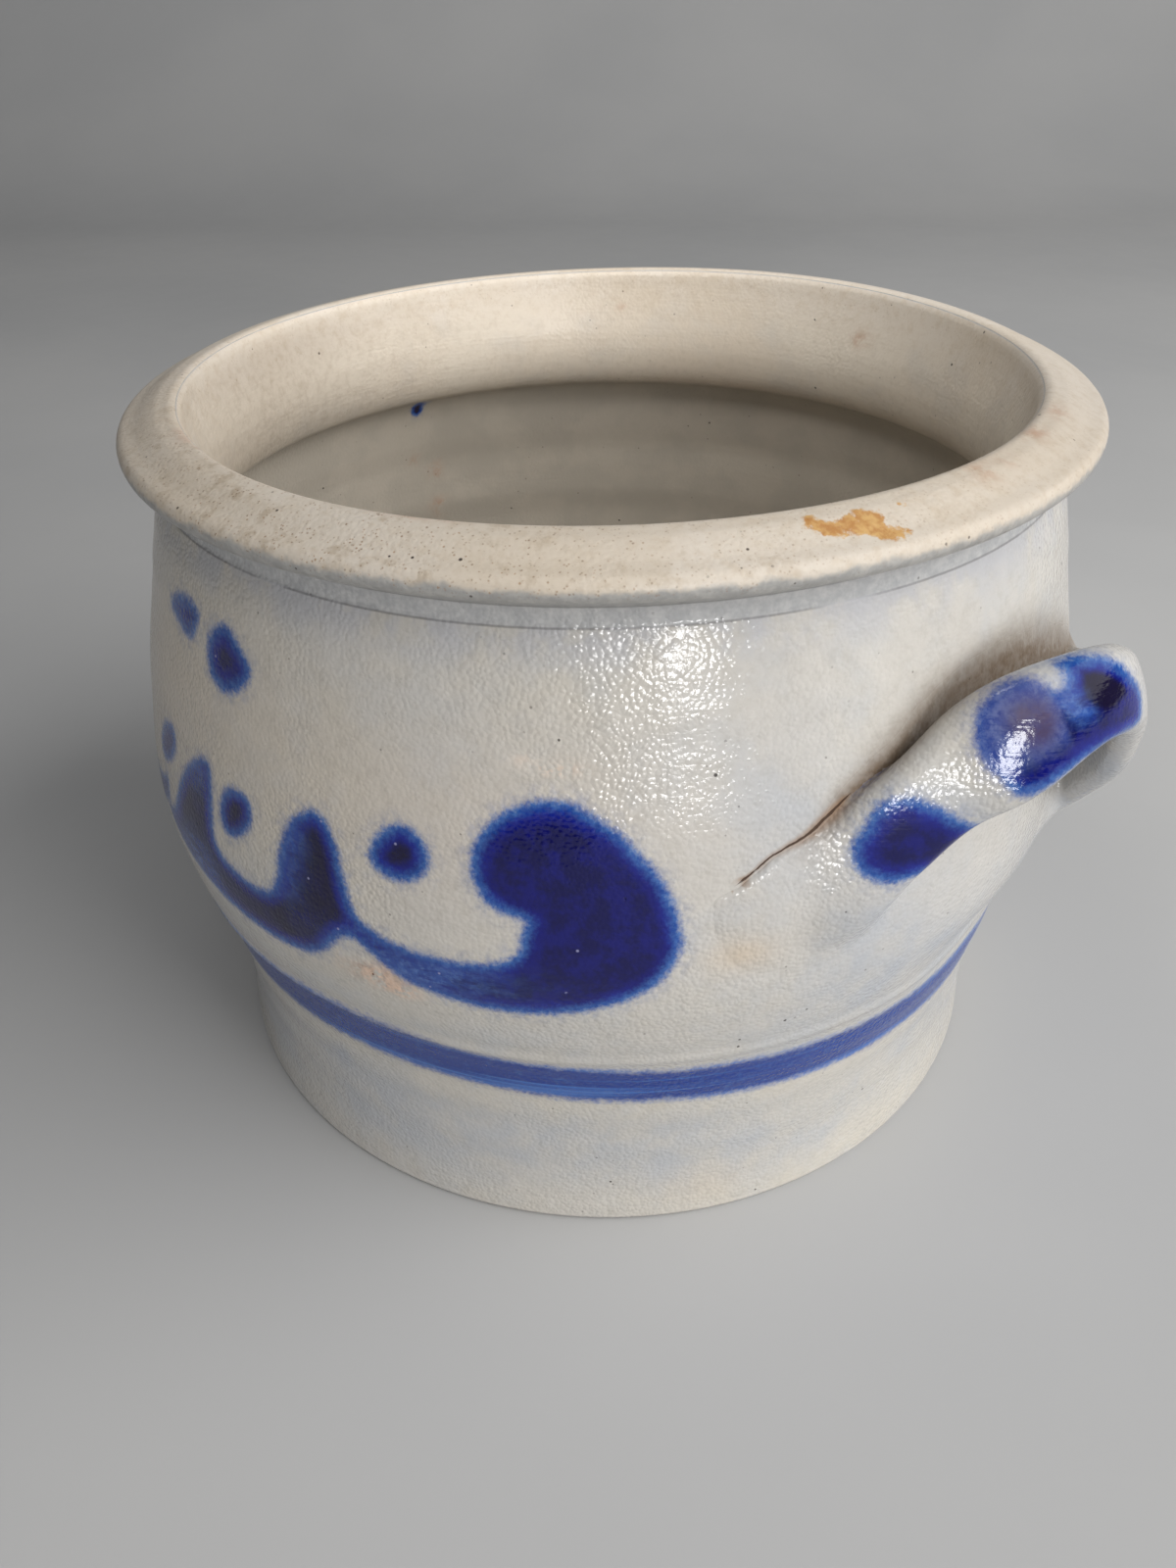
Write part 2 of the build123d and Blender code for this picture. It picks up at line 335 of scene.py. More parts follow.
# each stroke: (outline, how strong the pigment is, how purple-black its pool is)
STROKES = [(BEAN, 1.0, 0.30), (FINGERS, 1.0, 0.75), (DOT_RIGHT, 1.0, 0.85), (DOT_MID, 1.0, 0.85), (DOT_LEFT, 0.9, 0.6), (DROP_A, 0.8, 0.55), (DROP_B, 0.7, 0.5), (BEAN_LEFT, 1.0, 0.30)]
MM_PER_DEG = 1.92


def paint_body(az, z):
    """Azimuth in degrees, signed ink distance (mm) and pool darkness at azimuth (radians) and height (mm)."""
    deg = (np.degrees(az) + 180 + 60) % 360 - 180 - 60            # -240..120, so the front has no break
    pts = np.stack([deg * MM_PER_DEG, z], -1)
    ink = np.full(len(pts), -12.0)
    pool = np.zeros(len(pts))
    for outline, strength, dark in STROKES:
        loop = closed_curve([(a * MM_PER_DEG, h) for a, h in outline])
        lo, hi = loop.min(0) - 13, loop.max(0) + 13
        near = ((pts > lo) & (pts < hi)).all(1)
        if near.any():
            d = signed_distance(pts[near], loop)
            d = d * np.where(d > 0, strength, 1.0)
            better = d > ink[near]
            idx = np.nonzero(near)[0][better]
            ink[idx] = d[better]
            pool[idx] = dark
    return deg, ink, pool


def blob(deg, z, a0, z0, ra_mm, rz_mm):
    """A soft round patch, 1 in the middle."""
    return np.exp(-(((deg - a0) * MM_PER_DEG) / ra_mm) ** 2 - ((z - z0) / rz_mm) ** 2)


# ---------------------------------------------------------------- the ears as implicit clay
# Upper edge, lower edge (azimuth from the ear's middle in degrees, radius, height) and thickness, mm.
EAR = [((-34, 103, 107), (-27.5, 107, 85), 6.4), ((-28, 108.2, 113.5), (-25.2, 111.4, 89.5), 6.8), ((-22.5, 112.2, 122.8), (-21.6, 116.4, 96.8), 7.2),
       ((-17.4, 114.3, 131.0), (-17.7, 119.2, 105.6), 7.6), ((-12.9, 115.1, 137.7), (-15.0, 123.2, 112.8), 7.6), ((-9.2, 118.8, 142.8), (-10.4, 127.8, 121.2), 7.4),
       ((-4.5, 123.8, 144.5), (-5, 130.3, 127.2), 7.2), ((0, 124.4, 142.2), (0, 131.3, 126.0), 7.2), ((4, 122.5, 137.9), (5, 130.0, 119.1), 7.2),
       ((8.5, 119.8, 133.2), (9.5, 128.0, 108.7), 7.4), ((13, 117.4, 128.8), (13, 125.4, 98.6), 7.6), ((18, 114.4, 124), (15.8, 121.0, 88.8), 7.4),
       ((23, 112, 118.5), (17.6, 116.6, 81.6), 7.2), ((28.5, 108.2, 113.5), (20.0, 111.8, 76.0), 6.8), ((34, 103, 109), (23.0, 106.4, 72.0), 6.4)]
INSET = 0.25


def ear_frames(turn):
    def xyz(q):
        a = np.radians(q[0]) + turn
        return (q[1] * math.cos(a), q[1] * math.sin(a), q[2])
    u = np.arange(len(EAR))
    top = spline(u, np.array([xyz(e[0]) for e in EAR]))
    low = spline(u, np.array([xyz(e[1]) for e in EAR]))
    uu = np.linspace(0, len(EAR) - 1, 561)
    T, B = top(uu), low(uu)
    C = (T + B) / 2
    tan = np.gradient(C, axis=0)
    tan /= np.linalg.norm(tan, axis=1)[:, None]
    across = T - B
    width = np.linalg.norm(across, axis=1)
    v = across - (across * tan).sum(1)[:, None] * tan
    half = np.linalg.norm(v, axis=1) / 2
    v /= np.linalg.norm(v, axis=1)[:, None]
    n = np.cross(tan, v)
    thick = np.interp(uu, u, [e[2] for e in EAR])
    length = np.concatenate([[0], np.cumsum(np.linalg.norm(np.diff(C, axis=0), axis=1))])
    return dict(u=uu, C=C, t=tan, v=v, n=n, half=half, thick=thick, s=length, width=width)


def ear_coords(p, f):
    """Nearest place on the strap's middle line: u, along-offset, across, out."""
    best = np.full(len(p), 1e9)
    idx = np.zeros(len(p), int)
    for k in range(0, len(f["u"]), 4):
        d = ((p - f["C"][k]) ** 2).sum(1)
        m = d < best
        best[m] = d[m]; idx[m] = k
    for span in (2, 1):
        for off in (-span, span):
            k = np.clip(idx + off, 0, len(f["u"]) - 1)
            d = ((p - f["C"][k]) ** 2).sum(1)
            m = d < best
            best = np.where(m, d, best); idx = np.where(m, k, idx)
    rel = p - f["C"][idx]
    along = (rel * f["t"][idx]).sum(1)
    # slide to the exact foot point
    du = along / np.maximum(np.gradient(f["s"])[idx], 1e-6)
    pos = np.clip(idx + du, 0, len(f["u"]) - 1.0001)
    i0 = pos.astype(int); w = (pos - i0)[:, None]
    lerp = lambda a: a[i0] * (1 - w) + a[i0 + 1] * w
    C, t, v, n = lerp(f["C"]), lerp(f["t"]), lerp(f["v"]), lerp(f["n"])
    one = lambda a: a[i0] * (1 - w[:, 0]) + a[i0 + 1] * w[:, 0]
    rel = p - C
    return one(f["u"]), (rel * t).sum(1), (rel * v).sum(1), (rel * n).sum(1), one(f["half"]), one(f["thick"]) / 2


def ear_distance(p, f):
    u, s, a, b, half, ht = ear_coords(p, f)
    b = b + INSET * ht                                        # the stations lie just under the outer face
    q = np.clip(a / half, -1.2, 1.2)
    ht2 = ht * (1.04 - 0.20 * q ** 2)                         # thinner towards the edges, as a pulled strap is
    b2 = b - 0.75 * (1 - q ** 2) + 0.10 * np.sin(u * 2.1 + a * 0.35)
    edge = 0.84 * ht
    x, y = np.abs(a) - (half - edge), np.abs(b2) - (ht2 - edge)
    d = np.hypot(np.maximum(x, 0), np.maximum(y, 0)) + np.minimum(np.maximum(x, y), 0) - edge
    beyond = np.abs(s)
    return np.where(beyond > 0.3, np.hypot(np.maximum(d, 0), beyond) + np.minimum(d, 0), d), u, a, b, half


def polyline_sd(pts, line):
    """Signed distance to an open polyline (positive to its left) and how far along it is, 0..1."""
    line = np.asarray(line, float)
    best = np.full(len(pts), 1e9); sign = np.ones(len(pts)); along = np.zeros(len(pts))
    seg = np.hypot(*np.diff(line, axis=0).T); total = seg.sum(); at = 0.0
    for p, q, L in zip(line[:-1], line[1:], seg):
        d = q - p
        t_raw = ((pts - p) @ d) / (d @ d)
        t = np.clip(t_raw, 0, 1)
        r = pts - p - t[:, None] * d
        dist = np.hypot(*r.T)
        m = dist < best
        cr = d[0] * (pts[:, 1] - p[1]) - d[1] * (pts[:, 0] - p[0])
        best = np.where(m, dist, best); sign = np.where(m, np.sign(cr), sign); along = np.where(m, (at + t * L) / total, along)
        at += L
    return best * sign, along


# the crack along the top of each near root, and the smeared clay below it: (azimuth from the ear's middle, height)
CRACK = [(-44.0, 101.5), (-39.0, 104.6), (-36.0, 106.3), (-34.6, 107.2), (-34.1, 108.0), (-32.8, 109.8), (-31.5, 111.9), (-30.0, 113.2), (-28.5, 114.2), (-27.2, 115.6), (-26.0, 117.3), (-24.8, 119.0), (-23.3, 120.7), (-21.2, 123.0), (-18.5, 127.0), (-15.5, 132.0)]


def crack_width(along):
    """Half-width of the crack in mm: beads of pinholes at its thin end, widest near the ear."""
    dots = np.clip(0.5 + 0.9 * np.sin(along * 160.0 + 2.0 * np.sin(along * 47.0)), 0, 1)
    thin = smooth(0.245, 0.285, along) * (1 - smooth(0.335, 0.36, along)) * dots
    return 0.34 * thin + (0.22 + 0.16 * smooth(0.42, 0.62, along)) * smooth(0.335, 0.37, along) * smooth(0.74, 0.62, along)


def smear(deg, z):
    """Clay pushed onto the wall round the roots, mm above it. deg is azimuth from the ear's middle."""
    pts = np.stack([deg * MM_PER_DEG, z], -1)
    sd, along = polyline_sd(pts, [(a * MM_PER_DEG, h) for a, h in CRACK])
    below = smooth(-0.2, -1.3, sd)
    near = 1.15 * np.exp(-(((deg + 27.5) * MM_PER_DEG) / 13.5) ** 2 - ((z - 102.0) / 13.0) ** 2) * below
    near = near + 0.50 * np.exp(-(((deg + 32.0) * MM_PER_DEG) / 8.0) ** 2 - ((z - 103.0) / 8.0) ** 2) * below
    near = near * smooth(-40.0, -34.0, deg)
    far = 0.9 * np.exp(-(((deg - 26.5) * MM_PER_DEG) / 11.0) ** 2 - ((z - 97.0) / 15.0) ** 2)
    far = far + 3.6 * np.exp(-(((deg - 17.5) * MM_PER_DEG) / 8.0) ** 2 - ((z - 84.5) / 6.0) ** 2)
    return near + far, sd, along


def smin(a, b, k):
    h = np.clip(0.5 + 0.5 * (b - a) / k, 0, 1)
    return b * (1 - h) + a * h - k * h * (1 - h)


def ear_field(p, f, turn):
    """Negative inside the ear's clay. Also returns what the painter needs."""
    az, r, z = unsettle(p)
    slope = (outer_r(az, z + 0.5) - outer_r(az, z - 0.5))
    h = (r - outer_r(az, z)) / np.sqrt(1 + slope ** 2)
    deg = np.degrees((az - turn + math.pi) % (2 * math.pi) - math.pi)
    pad, sd, along = smear(deg, z)
    d, u, a, b, half = ear_distance(p, f)
    k = 1.2 + 9.0 * np.exp(-(((deg + 22.5) * 2.0) / 15.0) ** 2 - ((z - 98.0) / 14.0) ** 2) * smooth(0.6, -3.5, sd)
    k = k + 6.0 * np.exp(-(((deg - 25.0) * 2.0) / 17.0) ** 2 - ((z - 100.0) / 22.0) ** 2)
    total = smin(d, h - pad + 0.30 * (1 - smooth(0.0, 0.32, pad)), k)      # the edge of the smear dips under the wall
    reach = np.minimum(d - (k + 1.0), 0.03 - pad)
    clay = np.maximum(np.maximum(total + 0.05, -(h + 2.4)), reach)
    return clay, dict(h=h, d=d, u=u, a=a, b=b, half=half, deg=deg, z=z, az=az, sd=sd, along=along)


def surface_nets(field, lo, hi, step):
    """Quads on the zero of a field over a box, one vertex per crossed cell, moved onto the surface."""
    n = [int(math.ceil((hi[i] - lo[i]) / step)) + 1 for i in range(3)]
    ax = [lo[i] + step * np.arange(n[i]) for i in range(3)]
    X, Y, Z = np.meshgrid(*ax, indexing="ij")
    V = field(np.stack([X, Y, Z], -1).reshape(-1, 3)).reshape(n)
    inside = V < 0
    cells = np.zeros([k - 1 for k in n], int)
    for i in (0, 1):
        for j in (0, 1):
            for k in (0, 1):
                cells += inside[i:n[0] - 1 + i, j:n[1] - 1 + j, k:n[2] - 1 + k]
    active = (cells > 0) & (cells < 8)
    idx = np.full(active.shape, -1)
    where = np.argwhere(active)
    idx[active] = np.arange(len(where))
    acc = np.zeros((len(where), 3)); num = np.zeros(len(where))
    corner = [(i, j, k) for i in (0, 1) for j in (0, 1) for k in (0, 1)]
    for a in range(8):
        for b in range(a + 1, 8):
            ca, cb = np.array(corner[a]), np.array(corner[b])
            if np.abs(ca - cb).sum() != 1:
                continue
            va = V[tuple((where + ca).T)]; vb = V[tuple((where + cb).T)]
            m = (va < 0) != (vb < 0)
            t = np.where(m, va / np.where(m, va - vb, 1), 0)
            acc += np.where(m[:, None], ca + (cb - ca) * t[:, None], 0)
            num += m
    pos = np.array(lo) + step * (where + acc / num[:, None])
    quads = []
    for axis in range(3):
        o1, o2 = [i for i in range(3) if i != axis]
        sl0 = [slice(None)] * 3; sl1 = [slice(None)] * 3
        sl0[axis] = slice(0, n[axis] - 1); sl1[axis] = slice(1, n[axis])
        a, b = inside[tuple(sl0)], inside[tuple(sl1)]
        e = np.argwhere(a != b)
        e = e[(e[:, o1] > 0) & (e[:, o2] > 0) & (e[:, o1] < n[o1] - 1) & (e[:, o2] < n[o2] - 1)]
        c = []
        for d1, d2 in ((1, 1), (0, 1), (0, 0), (1, 0)):
            q = e.copy(); q[:, o1] -= d1; q[:, o2] -= d2
            c.append(idx[tuple(q.T)])
        q = np.stack(c, 1)
        flip = a[tuple(e.T)]
        if axis == 1:
            flip = ~flip
        q[~flip] = q[~flip][:, ::-1]
        quads.append(q)
    return pos, np.concatenate(quads)


def build_ear(turn, step):
    f = ear_frames(turn)
    c, s = math.cos(turn), math.sin(turn)
    local = np.array([[76.0, -84.0, 60.0], [136.0, 76.0, 150.0]])

    def world(p):
        return np.stack([c * p[:, 0] - s * p[:, 1], s * p[:, 0] + c * p[:, 1], p[:, 2]], -1)

    def field(p):
        out = np.empty(len(p))
        for i in range(0, len(p), 200000):
            q = world(p[i:i + 200000])
            az, r, z = unsettle(q)
            far = (r - outer_r(az, z)) < -6
            v = np.full(len(q), 5.0)
            if (~far).any():
                v[~far] = ear_field(q[~far], f, turn)[0]
            out[i:i + 200000] = v
        return out
    pos, quads = surface_nets(field, local[0], local[1], step)
    for _ in range(3):                                        # onto the exact surface
        v0 = field(pos)
        e = 0.05
        g = np.stack([(field(pos + np.eye(3)[i] * e) - field(pos - np.eye(3)[i] * e)) / (2 * e) for i in range(3)], -1)
        g2 = (g ** 2).sum(1)
        move = -(v0 / np.maximum(g2, 0.2))[:, None] * g
        length = np.linalg.norm(move, axis=1)[:, None]
        pos = pos + move * np.minimum(1, 0.35 * step / np.maximum(length, 1e-9))
    keep_largest = largest_part(len(pos), quads)
    pos, quads = keep_largest(pos, quads)
    quads = whole_skin(quads)
    used, flat = np.unique(quads, return_inverse=True)
    pos, quads = pos[used], flat.reshape(quads.shape)
    p = world(pos)
    info = ear_field(p, f, turn)[1]
    return p, quads, info, f


def largest_part(n, quads):
    """Drops loose crumbs of mesh."""
    lab = np.arange(n)
    for _ in range(400):
        m = lab[quads].min(1)
        new = lab.copy()
        for k in range(4):
            np.minimum.at(new, quads[:, k], m)
        new = new[new]
        if (new == lab).all():
            break
        lab = new
    names, counts = np.unique(lab[quads[:, 0]], return_counts=True)
    main = names[counts.argmax()]

    def pick(pos, q):
        keep = lab == main
        new_i = np.cumsum(keep) - 1
        q2 = q[keep[q[:, 0]]]
        return pos[keep], new_i[q2]
    return pick


def whole_skin(quads):
    """Drops crumbs that hang on the mesh by a single edge."""
    edges = np.sort(np.stack([quads, np.roll(quads, -1, 1)], -1).reshape(-1, 2), 1).astype(np.int64)
    key = edges[:, 0] * (int(quads.max()) + 1) + edges[:, 1]
    order = np.argsort(key, kind="stable")
    key, owner = key[order], np.repeat(np.arange(len(quads)), 4)[order]
    start = np.flatnonzero(np.r_[True, key[1:] != key[:-1]])
    pair = start[np.diff(np.r_[start, len(key)]) == 2]
    a, b = owner[pair], owner[pair + 1]
    lab = np.arange(len(quads))
    for _ in range(3000):
        m = np.minimum(lab[a], lab[b])
        new = lab.copy()
        np.minimum.at(new, a, m)
        np.minimum.at(new, b, m)
        new = new[new]
        if (new == lab).all():
            break
        lab = new
    names, counts = np.unique(lab, return_counts=True)
    return quads[lab == names[counts.argmax()]]


# brush dabs on an ear. The one on the near root is (azimuth from the ear's middle, height); the others (station, across: 0 lower edge .. 1 upper edge)
DAB_ROOT = [(-24.4, 112.3), (-23.5, 116.2), (-22.4, 119.9), (-20.8, 121.9), (-19.1, 121.8), (-17.4, 120.0), (-15.6, 117.2), (-13.6, 114.6), (-13.4, 111.0), (-14.6, 107.0), (-16.6, 105.0), (-19.0, 104.9), (-20.9, 104.6), (-22.6, 105.7), (-23.9, 108.2)]
DAB_CROWN = [(4.19, 0.50), (4.22, 0.62), (4.28, 0.72), (4.38, 0.80), (4.55, 0.90), (4.74, 0.96), (4.91, 0.98), (5.07, 0.98), (5.18, 0.97), (5.29, 0.93), (5.35, 0.87), (5.41, 0.80), (5.47, 0.79), (5.53, 0.84), (5.55, 0.93), (5.59, 0.99),
             (5.80, 1.0), (6.02, 0.96), (6.16, 0.92), (6.36, 0.84), (6.58, 0.72), (6.88, 0.55), (7.08, 0.38), (7.12, 0.20), (6.95, 0.06), (6.4, 0.02), (5.9, 0.03), (5.43, 0.05), (5.13, 0.04), (4.83, 0.03), (4.60, 0.04), (4.37, 0.10),
             (4.27, 0.22), (4.26, 0.34), (4.20, 0.42)]
CORE_B = [(5.64, 0.88), (5.60, 0.96), (5.80, 0.96), (5.98, 0.94), (6.24, 0.90), (6.46, 0.76), (6.50, 0.62), (6.26, 0.52), (6.06, 0.47), (5.84, 0.55), (5.73, 0.66), (5.66, 0.78)]
DAB_FAR = [(10.4, 0.35), (10.7, 0.62), (11.2, 0.78), (11.9, 0.80), (12.5, 0.66), (12.7, 0.42), (12.4, 0.18), (11.7, 0.06), (10.9, 0.10)]


def paint_ear(info, f):
    """Ink distance (mm), purple-black pooling and thin wash over an ear."""
    s = np.interp(info["u"], f["u"], f["s"])
    mean_half = 10.5
    across = (info["a"] / info["half"]) * mean_half
    on_strap = np.stack([s, across], -1)
    on_wall = np.stack([info["deg"] * 2.05, info["z"]], -1)
    ink = np.full(len(s), -12.0); pool = np.zeros(len(s)); wash = np.zeros(len(s)); thin = np.zeros(len(s)); violet = np.zeros(len(s))
    q01 = (info["a"] / info["half"] + 1) / 2
    for name, outline in (("root", DAB_ROOT), ("crown", DAB_CROWN), ("far", DAB_FAR)):
        if name == "root":
            d = signed_distance(on_wall, closed_curve([(a * 2.05, z) for a, z in outline]))
            d = np.where(info["u"] < 4.2, d, -12)
        else:
            d = signed_distance(on_strap, closed_curve([(np.interp(u, f["u"], f["s"]), (q * 2 - 1) * mean_half) for u, q in outline]))
        m = d > ink
        ink[m] = d[m]
        if name == "crown":
            u = info["u"][m]
            v = q01[m]
            wash[m] = smooth(0.20, 0.42, v) * smooth(5.42, 5.30, u) * (0.80 + 0.20 * smooth(4.3, 4.8, u))
            violet[m] = np.clip(1.4 * np.exp(-((u - 5.03) / 0.30) ** 2 - ((v - 0.60) / 0.22) ** 2), 0, 1)
            core = signed_distance(on_strap[m], closed_curve([(np.interp(c, f["u"], f["s"]), (q * 2 - 1) * mean_half) for c, q in CORE_B]))
            pool[m] = smooth(-3.6, 0.9, core) * 1.2
            seam = np.interp(v, [0.0, 0.35, 0.45, 0.55, 0.68, 0.78, 1.0], [5.74, 5.66, 5.58, 5.52, 5.47, 5.49, 5.55])
            thin[m] = np.clip(1.3 * np.exp(-((u - seam) / 0.11) ** 2) * smooth(0.28, 0.46, v) * smooth(0.90, 0.76, v) + 0.8 * np.exp(-((u - seam - 0.16) / 0.10) ** 2) * smooth(0.30, 0.50, v) * smooth(0.85, 0.65, v)
                              + 0.8 * smooth(0.13, 0.03, v) * smooth(5.2, 5.45, u) + 0.7 * smooth(0.22, 0.05, v) * smooth(4.9, 4.6, u), 0, 1)
        else:
            pool[m] = 0.12
            wash[m] = 0.0
    outer = smooth(-1.2, 0.4, info["b"])
    ink = np.where((outer < 1) & (info["u"] > 3.0), np.minimum(ink, -4 + 16 * outer), ink)
    return ink, pool, wash, thin, violet


# ---------------------------------------------------------------- shaders
def srgb(r, g, b):
    """8-bit screen colour to linear."""
    def one(c):
        c /= 255.0
        return c / 12.92 if c <= 0.04045 else ((c + 0.055) / 1.055) ** 2.4
    return (one(r), one(g), one(b), 1.0)


class Tree:
    """Short-hand for building a node tree."""

    def __init__(self, name):
        self.m = bpy.data.materials.new(name)
        self.m.use_nodes = True
        self.t = self.m.node_tree
        self.t.nodes.clear()
        self.out = self.t.nodes.new("ShaderNodeOutputMaterial")
        self.p = self.t.nodes.new("ShaderNodeBsdfPrincipled")
        self.t.links.new(self.p.outputs[0], self.out.inputs[0])

    def node(self, kind, **values):
        n = self.t.nodes.new("ShaderNode" + kind)
        for k, v in values.items():
            setattr(n, k, v)
        return n

    def put(self, socket, value):
        if isinstance(value, bpy.types.NodeSocket):
            self.t.links.new(value, socket)
        else:
            socket.default_value = value

    def attr(self, name):
        n = self.node("Attribute", attribute_name=name)
        return n.outputs["Fac"]

    def coords(self):
        return self.node("TexCoord").outputs["Object"]

    def scaled(self, vec, s):
        n = self.node("Mapping")
        n.inputs["Scale"].default_value = s
        self.t.links.new(vec, n.inputs["Vector"])
        return n.outputs[0]

    def noise(self, vec, scale, detail=2.0, rough=0.5, distortion=0.0):
        n = self.node("TexNoise")
        self.put(n.inputs["Vector"], vec)
        n.inputs["Scale"].default_value = scale
        n.inputs["Detail"].default_value = detail
        n.inputs["Roughness"].default_value = rough
        n.inputs["Distortion"].default_value = distortion
        return n.outputs[0]

    def voronoi(self, vec, scale, feature="F1", smoothness=None, rand=1.0):
        n = self.node("TexVoronoi", feature=feature)
        self.put(n.inputs["Vector"], vec)
        n.inputs["Scale"].default_value = scale
        n.inputs["Randomness"].default_value = rand
        if smoothness is not None:
            n.inputs["Smoothness"].default_value = smoothness
        return n.outputs["Distance"]

    def math(self, op, a, b=None, c=None, clamp=False):
        n = self.node("Math", operation=op, use_clamp=clamp)
        self.put(n.inputs[0], a)
        if b is not None:
            self.put(n.inputs[1], b)
        if c is not None:
            self.put(n.inputs[2], c)
        return n.outputs[0]

    def ramp(self, x, a, b, to0=0.0, to1=1.0, kind="SMOOTHSTEP"):
        n = self.node("MapRange", interpolation_type=kind)
        self.put(n.inputs["Value"], x)
        n.inputs["From Min"].default_value = a
        n.inputs["From Max"].default_value = b
        n.inputs["To Min"].default_value = to0
        n.inputs["To Max"].default_value = to1
        return n.outputs[0]

    def mix(self, fac, a, b, blend="MIX"):
        n = self.node("Mix", data_type="RGBA", blend_type=blend)
        self.put(n.inputs[0], fac)
        self.put(n.inputs[6], a)
        self.put(n.inputs[7], b)
        return n.outputs[2]

    def bump(self, height, distance, strength=1.0, normal=None):
        n = self.node("Bump")
        n.inputs["Strength"].default_value = strength
        n.inputs["Distance"].default_value = distance
        self.put(n.inputs["Height"], height)
        if normal is not None:
            self.put(n.inputs["Normal"], normal)
        return n.outputs[0]


def stoneware(name, ear):
    """Salt-glazed stoneware with cobalt. Ink distances are in millimetres, from the mesh."""
    t = Tree(name)
    at = t.coords()
    M, N, R = t.math, t.noise, t.ramp
    big = N(at, 14.0, 3.0, 0.55)
    mid = N(at, 55.0, 3.0, 0.6)
    fine = N(at, 420.0, 3.0, 0.65)
    grain = N(at, 1500.0, 2.0, 0.6)
    # pebbled salt glaze: rounded bumps a little over 1 mm apart with dimples between them
    warp = t.node("TexNoise")
    warp.inputs["Scale"].default_value = 300.0
    warp.inputs["Detail"].default_value = 1.0
    t.put(warp.inputs["Vector"], at)
    w1 = t.node("VectorMath", operation="SUBTRACT")
    t.put(w1.inputs[0], warp.outputs["Color"]); w1.inputs[1].default_value = (0.5, 0.5, 0.5)
    w2 = t.node("VectorMath", operation="MULTIPLY_ADD")
    t.put(w2.inputs[0], w1.outputs[0]); w2.inputs[1].default_value = (0.0009,) * 3; t.put(w2.inputs[2], at)
    peel = t.voronoi(w2.outputs[0], 1020.0, "SMOOTH_F1", 0.30, 0.9)
    peel2 = N(at, 330.0, 2.0, 0.5)
    rim, inner, foot, toast_and_shade = t.attr("rim"), t.attr("inner"), t.attr("foot"), t.attr("toast_and_shade")
    cool_attr, warm_attr, stain, pink = t.attr("cool"), t.attr("warm"), t.attr("stain"), t.attr("pink")
    collar = t.attr("collar")

    # ---- bare glaze colour
    body = t.mix(R(big, 0.36, 0.66), srgb(197, 193, 187), srgb(201, 195, 184))
    body = t.mix(M("MULTIPLY", R(mid, 0.42, 0.68), 0.40), body, srgb(187, 189, 192))
    body = t.mix(M("MULTIPLY", R(fine, 0.42, 0.75), 0.36), body, srgb(168, 163, 154))
    body = t.mix(M("MULTIPLY", R(N(at, 210.0, 3.0, 0.6), 0.52, 0.70), 0.30), body, srgb(216, 212, 206))
    body = t.mix(M("MULTIPLY", cool_attr, M("ADD", 0.35, M("MULTIPLY", R(mid, 0.3, 0.7), 0.65)), clamp=True), body, srgb(170, 175, 184))
    body = t.mix(M("MULTIPLY", warm_attr, 0.6), body, srgb(206, 184, 156))
    in_col = t.mix(R(big, 0.35, 0.65), srgb(214, 205, 191), srgb(207, 195, 179))
    in_col = t.mix(M("MULTIPLY", R(mid, 0.45, 0.72), 0.4), in_col, srgb(192, 188, 182))
    in_col = t.mix(M("MULTIPLY", R(fine, 0.45, 0.75), 0.22), in_col, srgb(172, 158, 140))
    # greyer glaze and painted shade: the inside of the belly below the throat is made darker
    in_col = t.mix(M("MULTIPLY", t.attr("belly"), M("ADD", 0.82, M("MULTIPLY", R(mid, 0.4, 0.6), 0.18))), in_col, srgb(171, 164, 153))
    body = t.mix(inner, body, in_col)
    rim_col = t.mix(R(big, 0.3, 0.7), srgb(212, 203, 191), srgb(207, 194, 176))
    rim_col = t.mix(M("MULTIPLY", R(mid, 0.5, 0.75), 0.45), rim_col, srgb(218, 211, 202))
    rim_col = t.mix(M("MULTIPLY", R(fine, 0.45, 0.72), 0.32), rim_col, srgb(190, 172, 148))
    rim_col = t.mix(M("MULTIPLY", R(N(at, 170.0, 4.0, 0.7), 0.52, 0.68), M("MULTIPLY", t.attr("specks"), 0.55)), rim_col, srgb(166, 148, 124))
    body = t.mix(rim, body, rim_col)
    # grey-blue glaze in the turned recess; painted shade, grey with a ragged upper edge, on the underside of the bead;
    # painted dark shade lines along the step and the bead's undercut edge
    recess = M("MULTIPLY", R(collar, 13.95, 14.25), R(collar, 18.25, 17.9))
    body = t.mix(M("MULTIPLY", recess, 0.85), body, t.mix(R(fine, 0.35, 0.7), srgb(170, 171, 173), srgb(192, 192, 192)))
    haze = M("MULTIPLY", R(collar, 5.0, 13.8), R(M("ADD", mid, M("MULTIPLY", M("SUBTRACT", N(at, 180.0, 3.0, 0.6), 0.5), 0.8)), 0.36, 0.62))
    haze = M("MULTIPLY", haze, R(collar, 14.4, 14.1))
    body = t.mix(M("MULTIPLY", haze, 0.55), body, srgb(178, 179, 186))
    # painted shade: grey on the underside of the bead, ragged at its top
    bead_underside_shade = M("MULTIPLY", R(M("ADD", collar, M("MULTIPLY", M("SUBTRACT", N(at, 240.0, 3.0, 0.6), 0.5), 3.2)), 24.7, 23.3), R(collar, 17.9, 18.2))
    body = t.mix(M("MULTIPLY", bead_underside_shade, 0.85), body, t.mix(R(fine, 0.35, 0.7), srgb(146, 147, 147), srgb(172, 172, 170)))
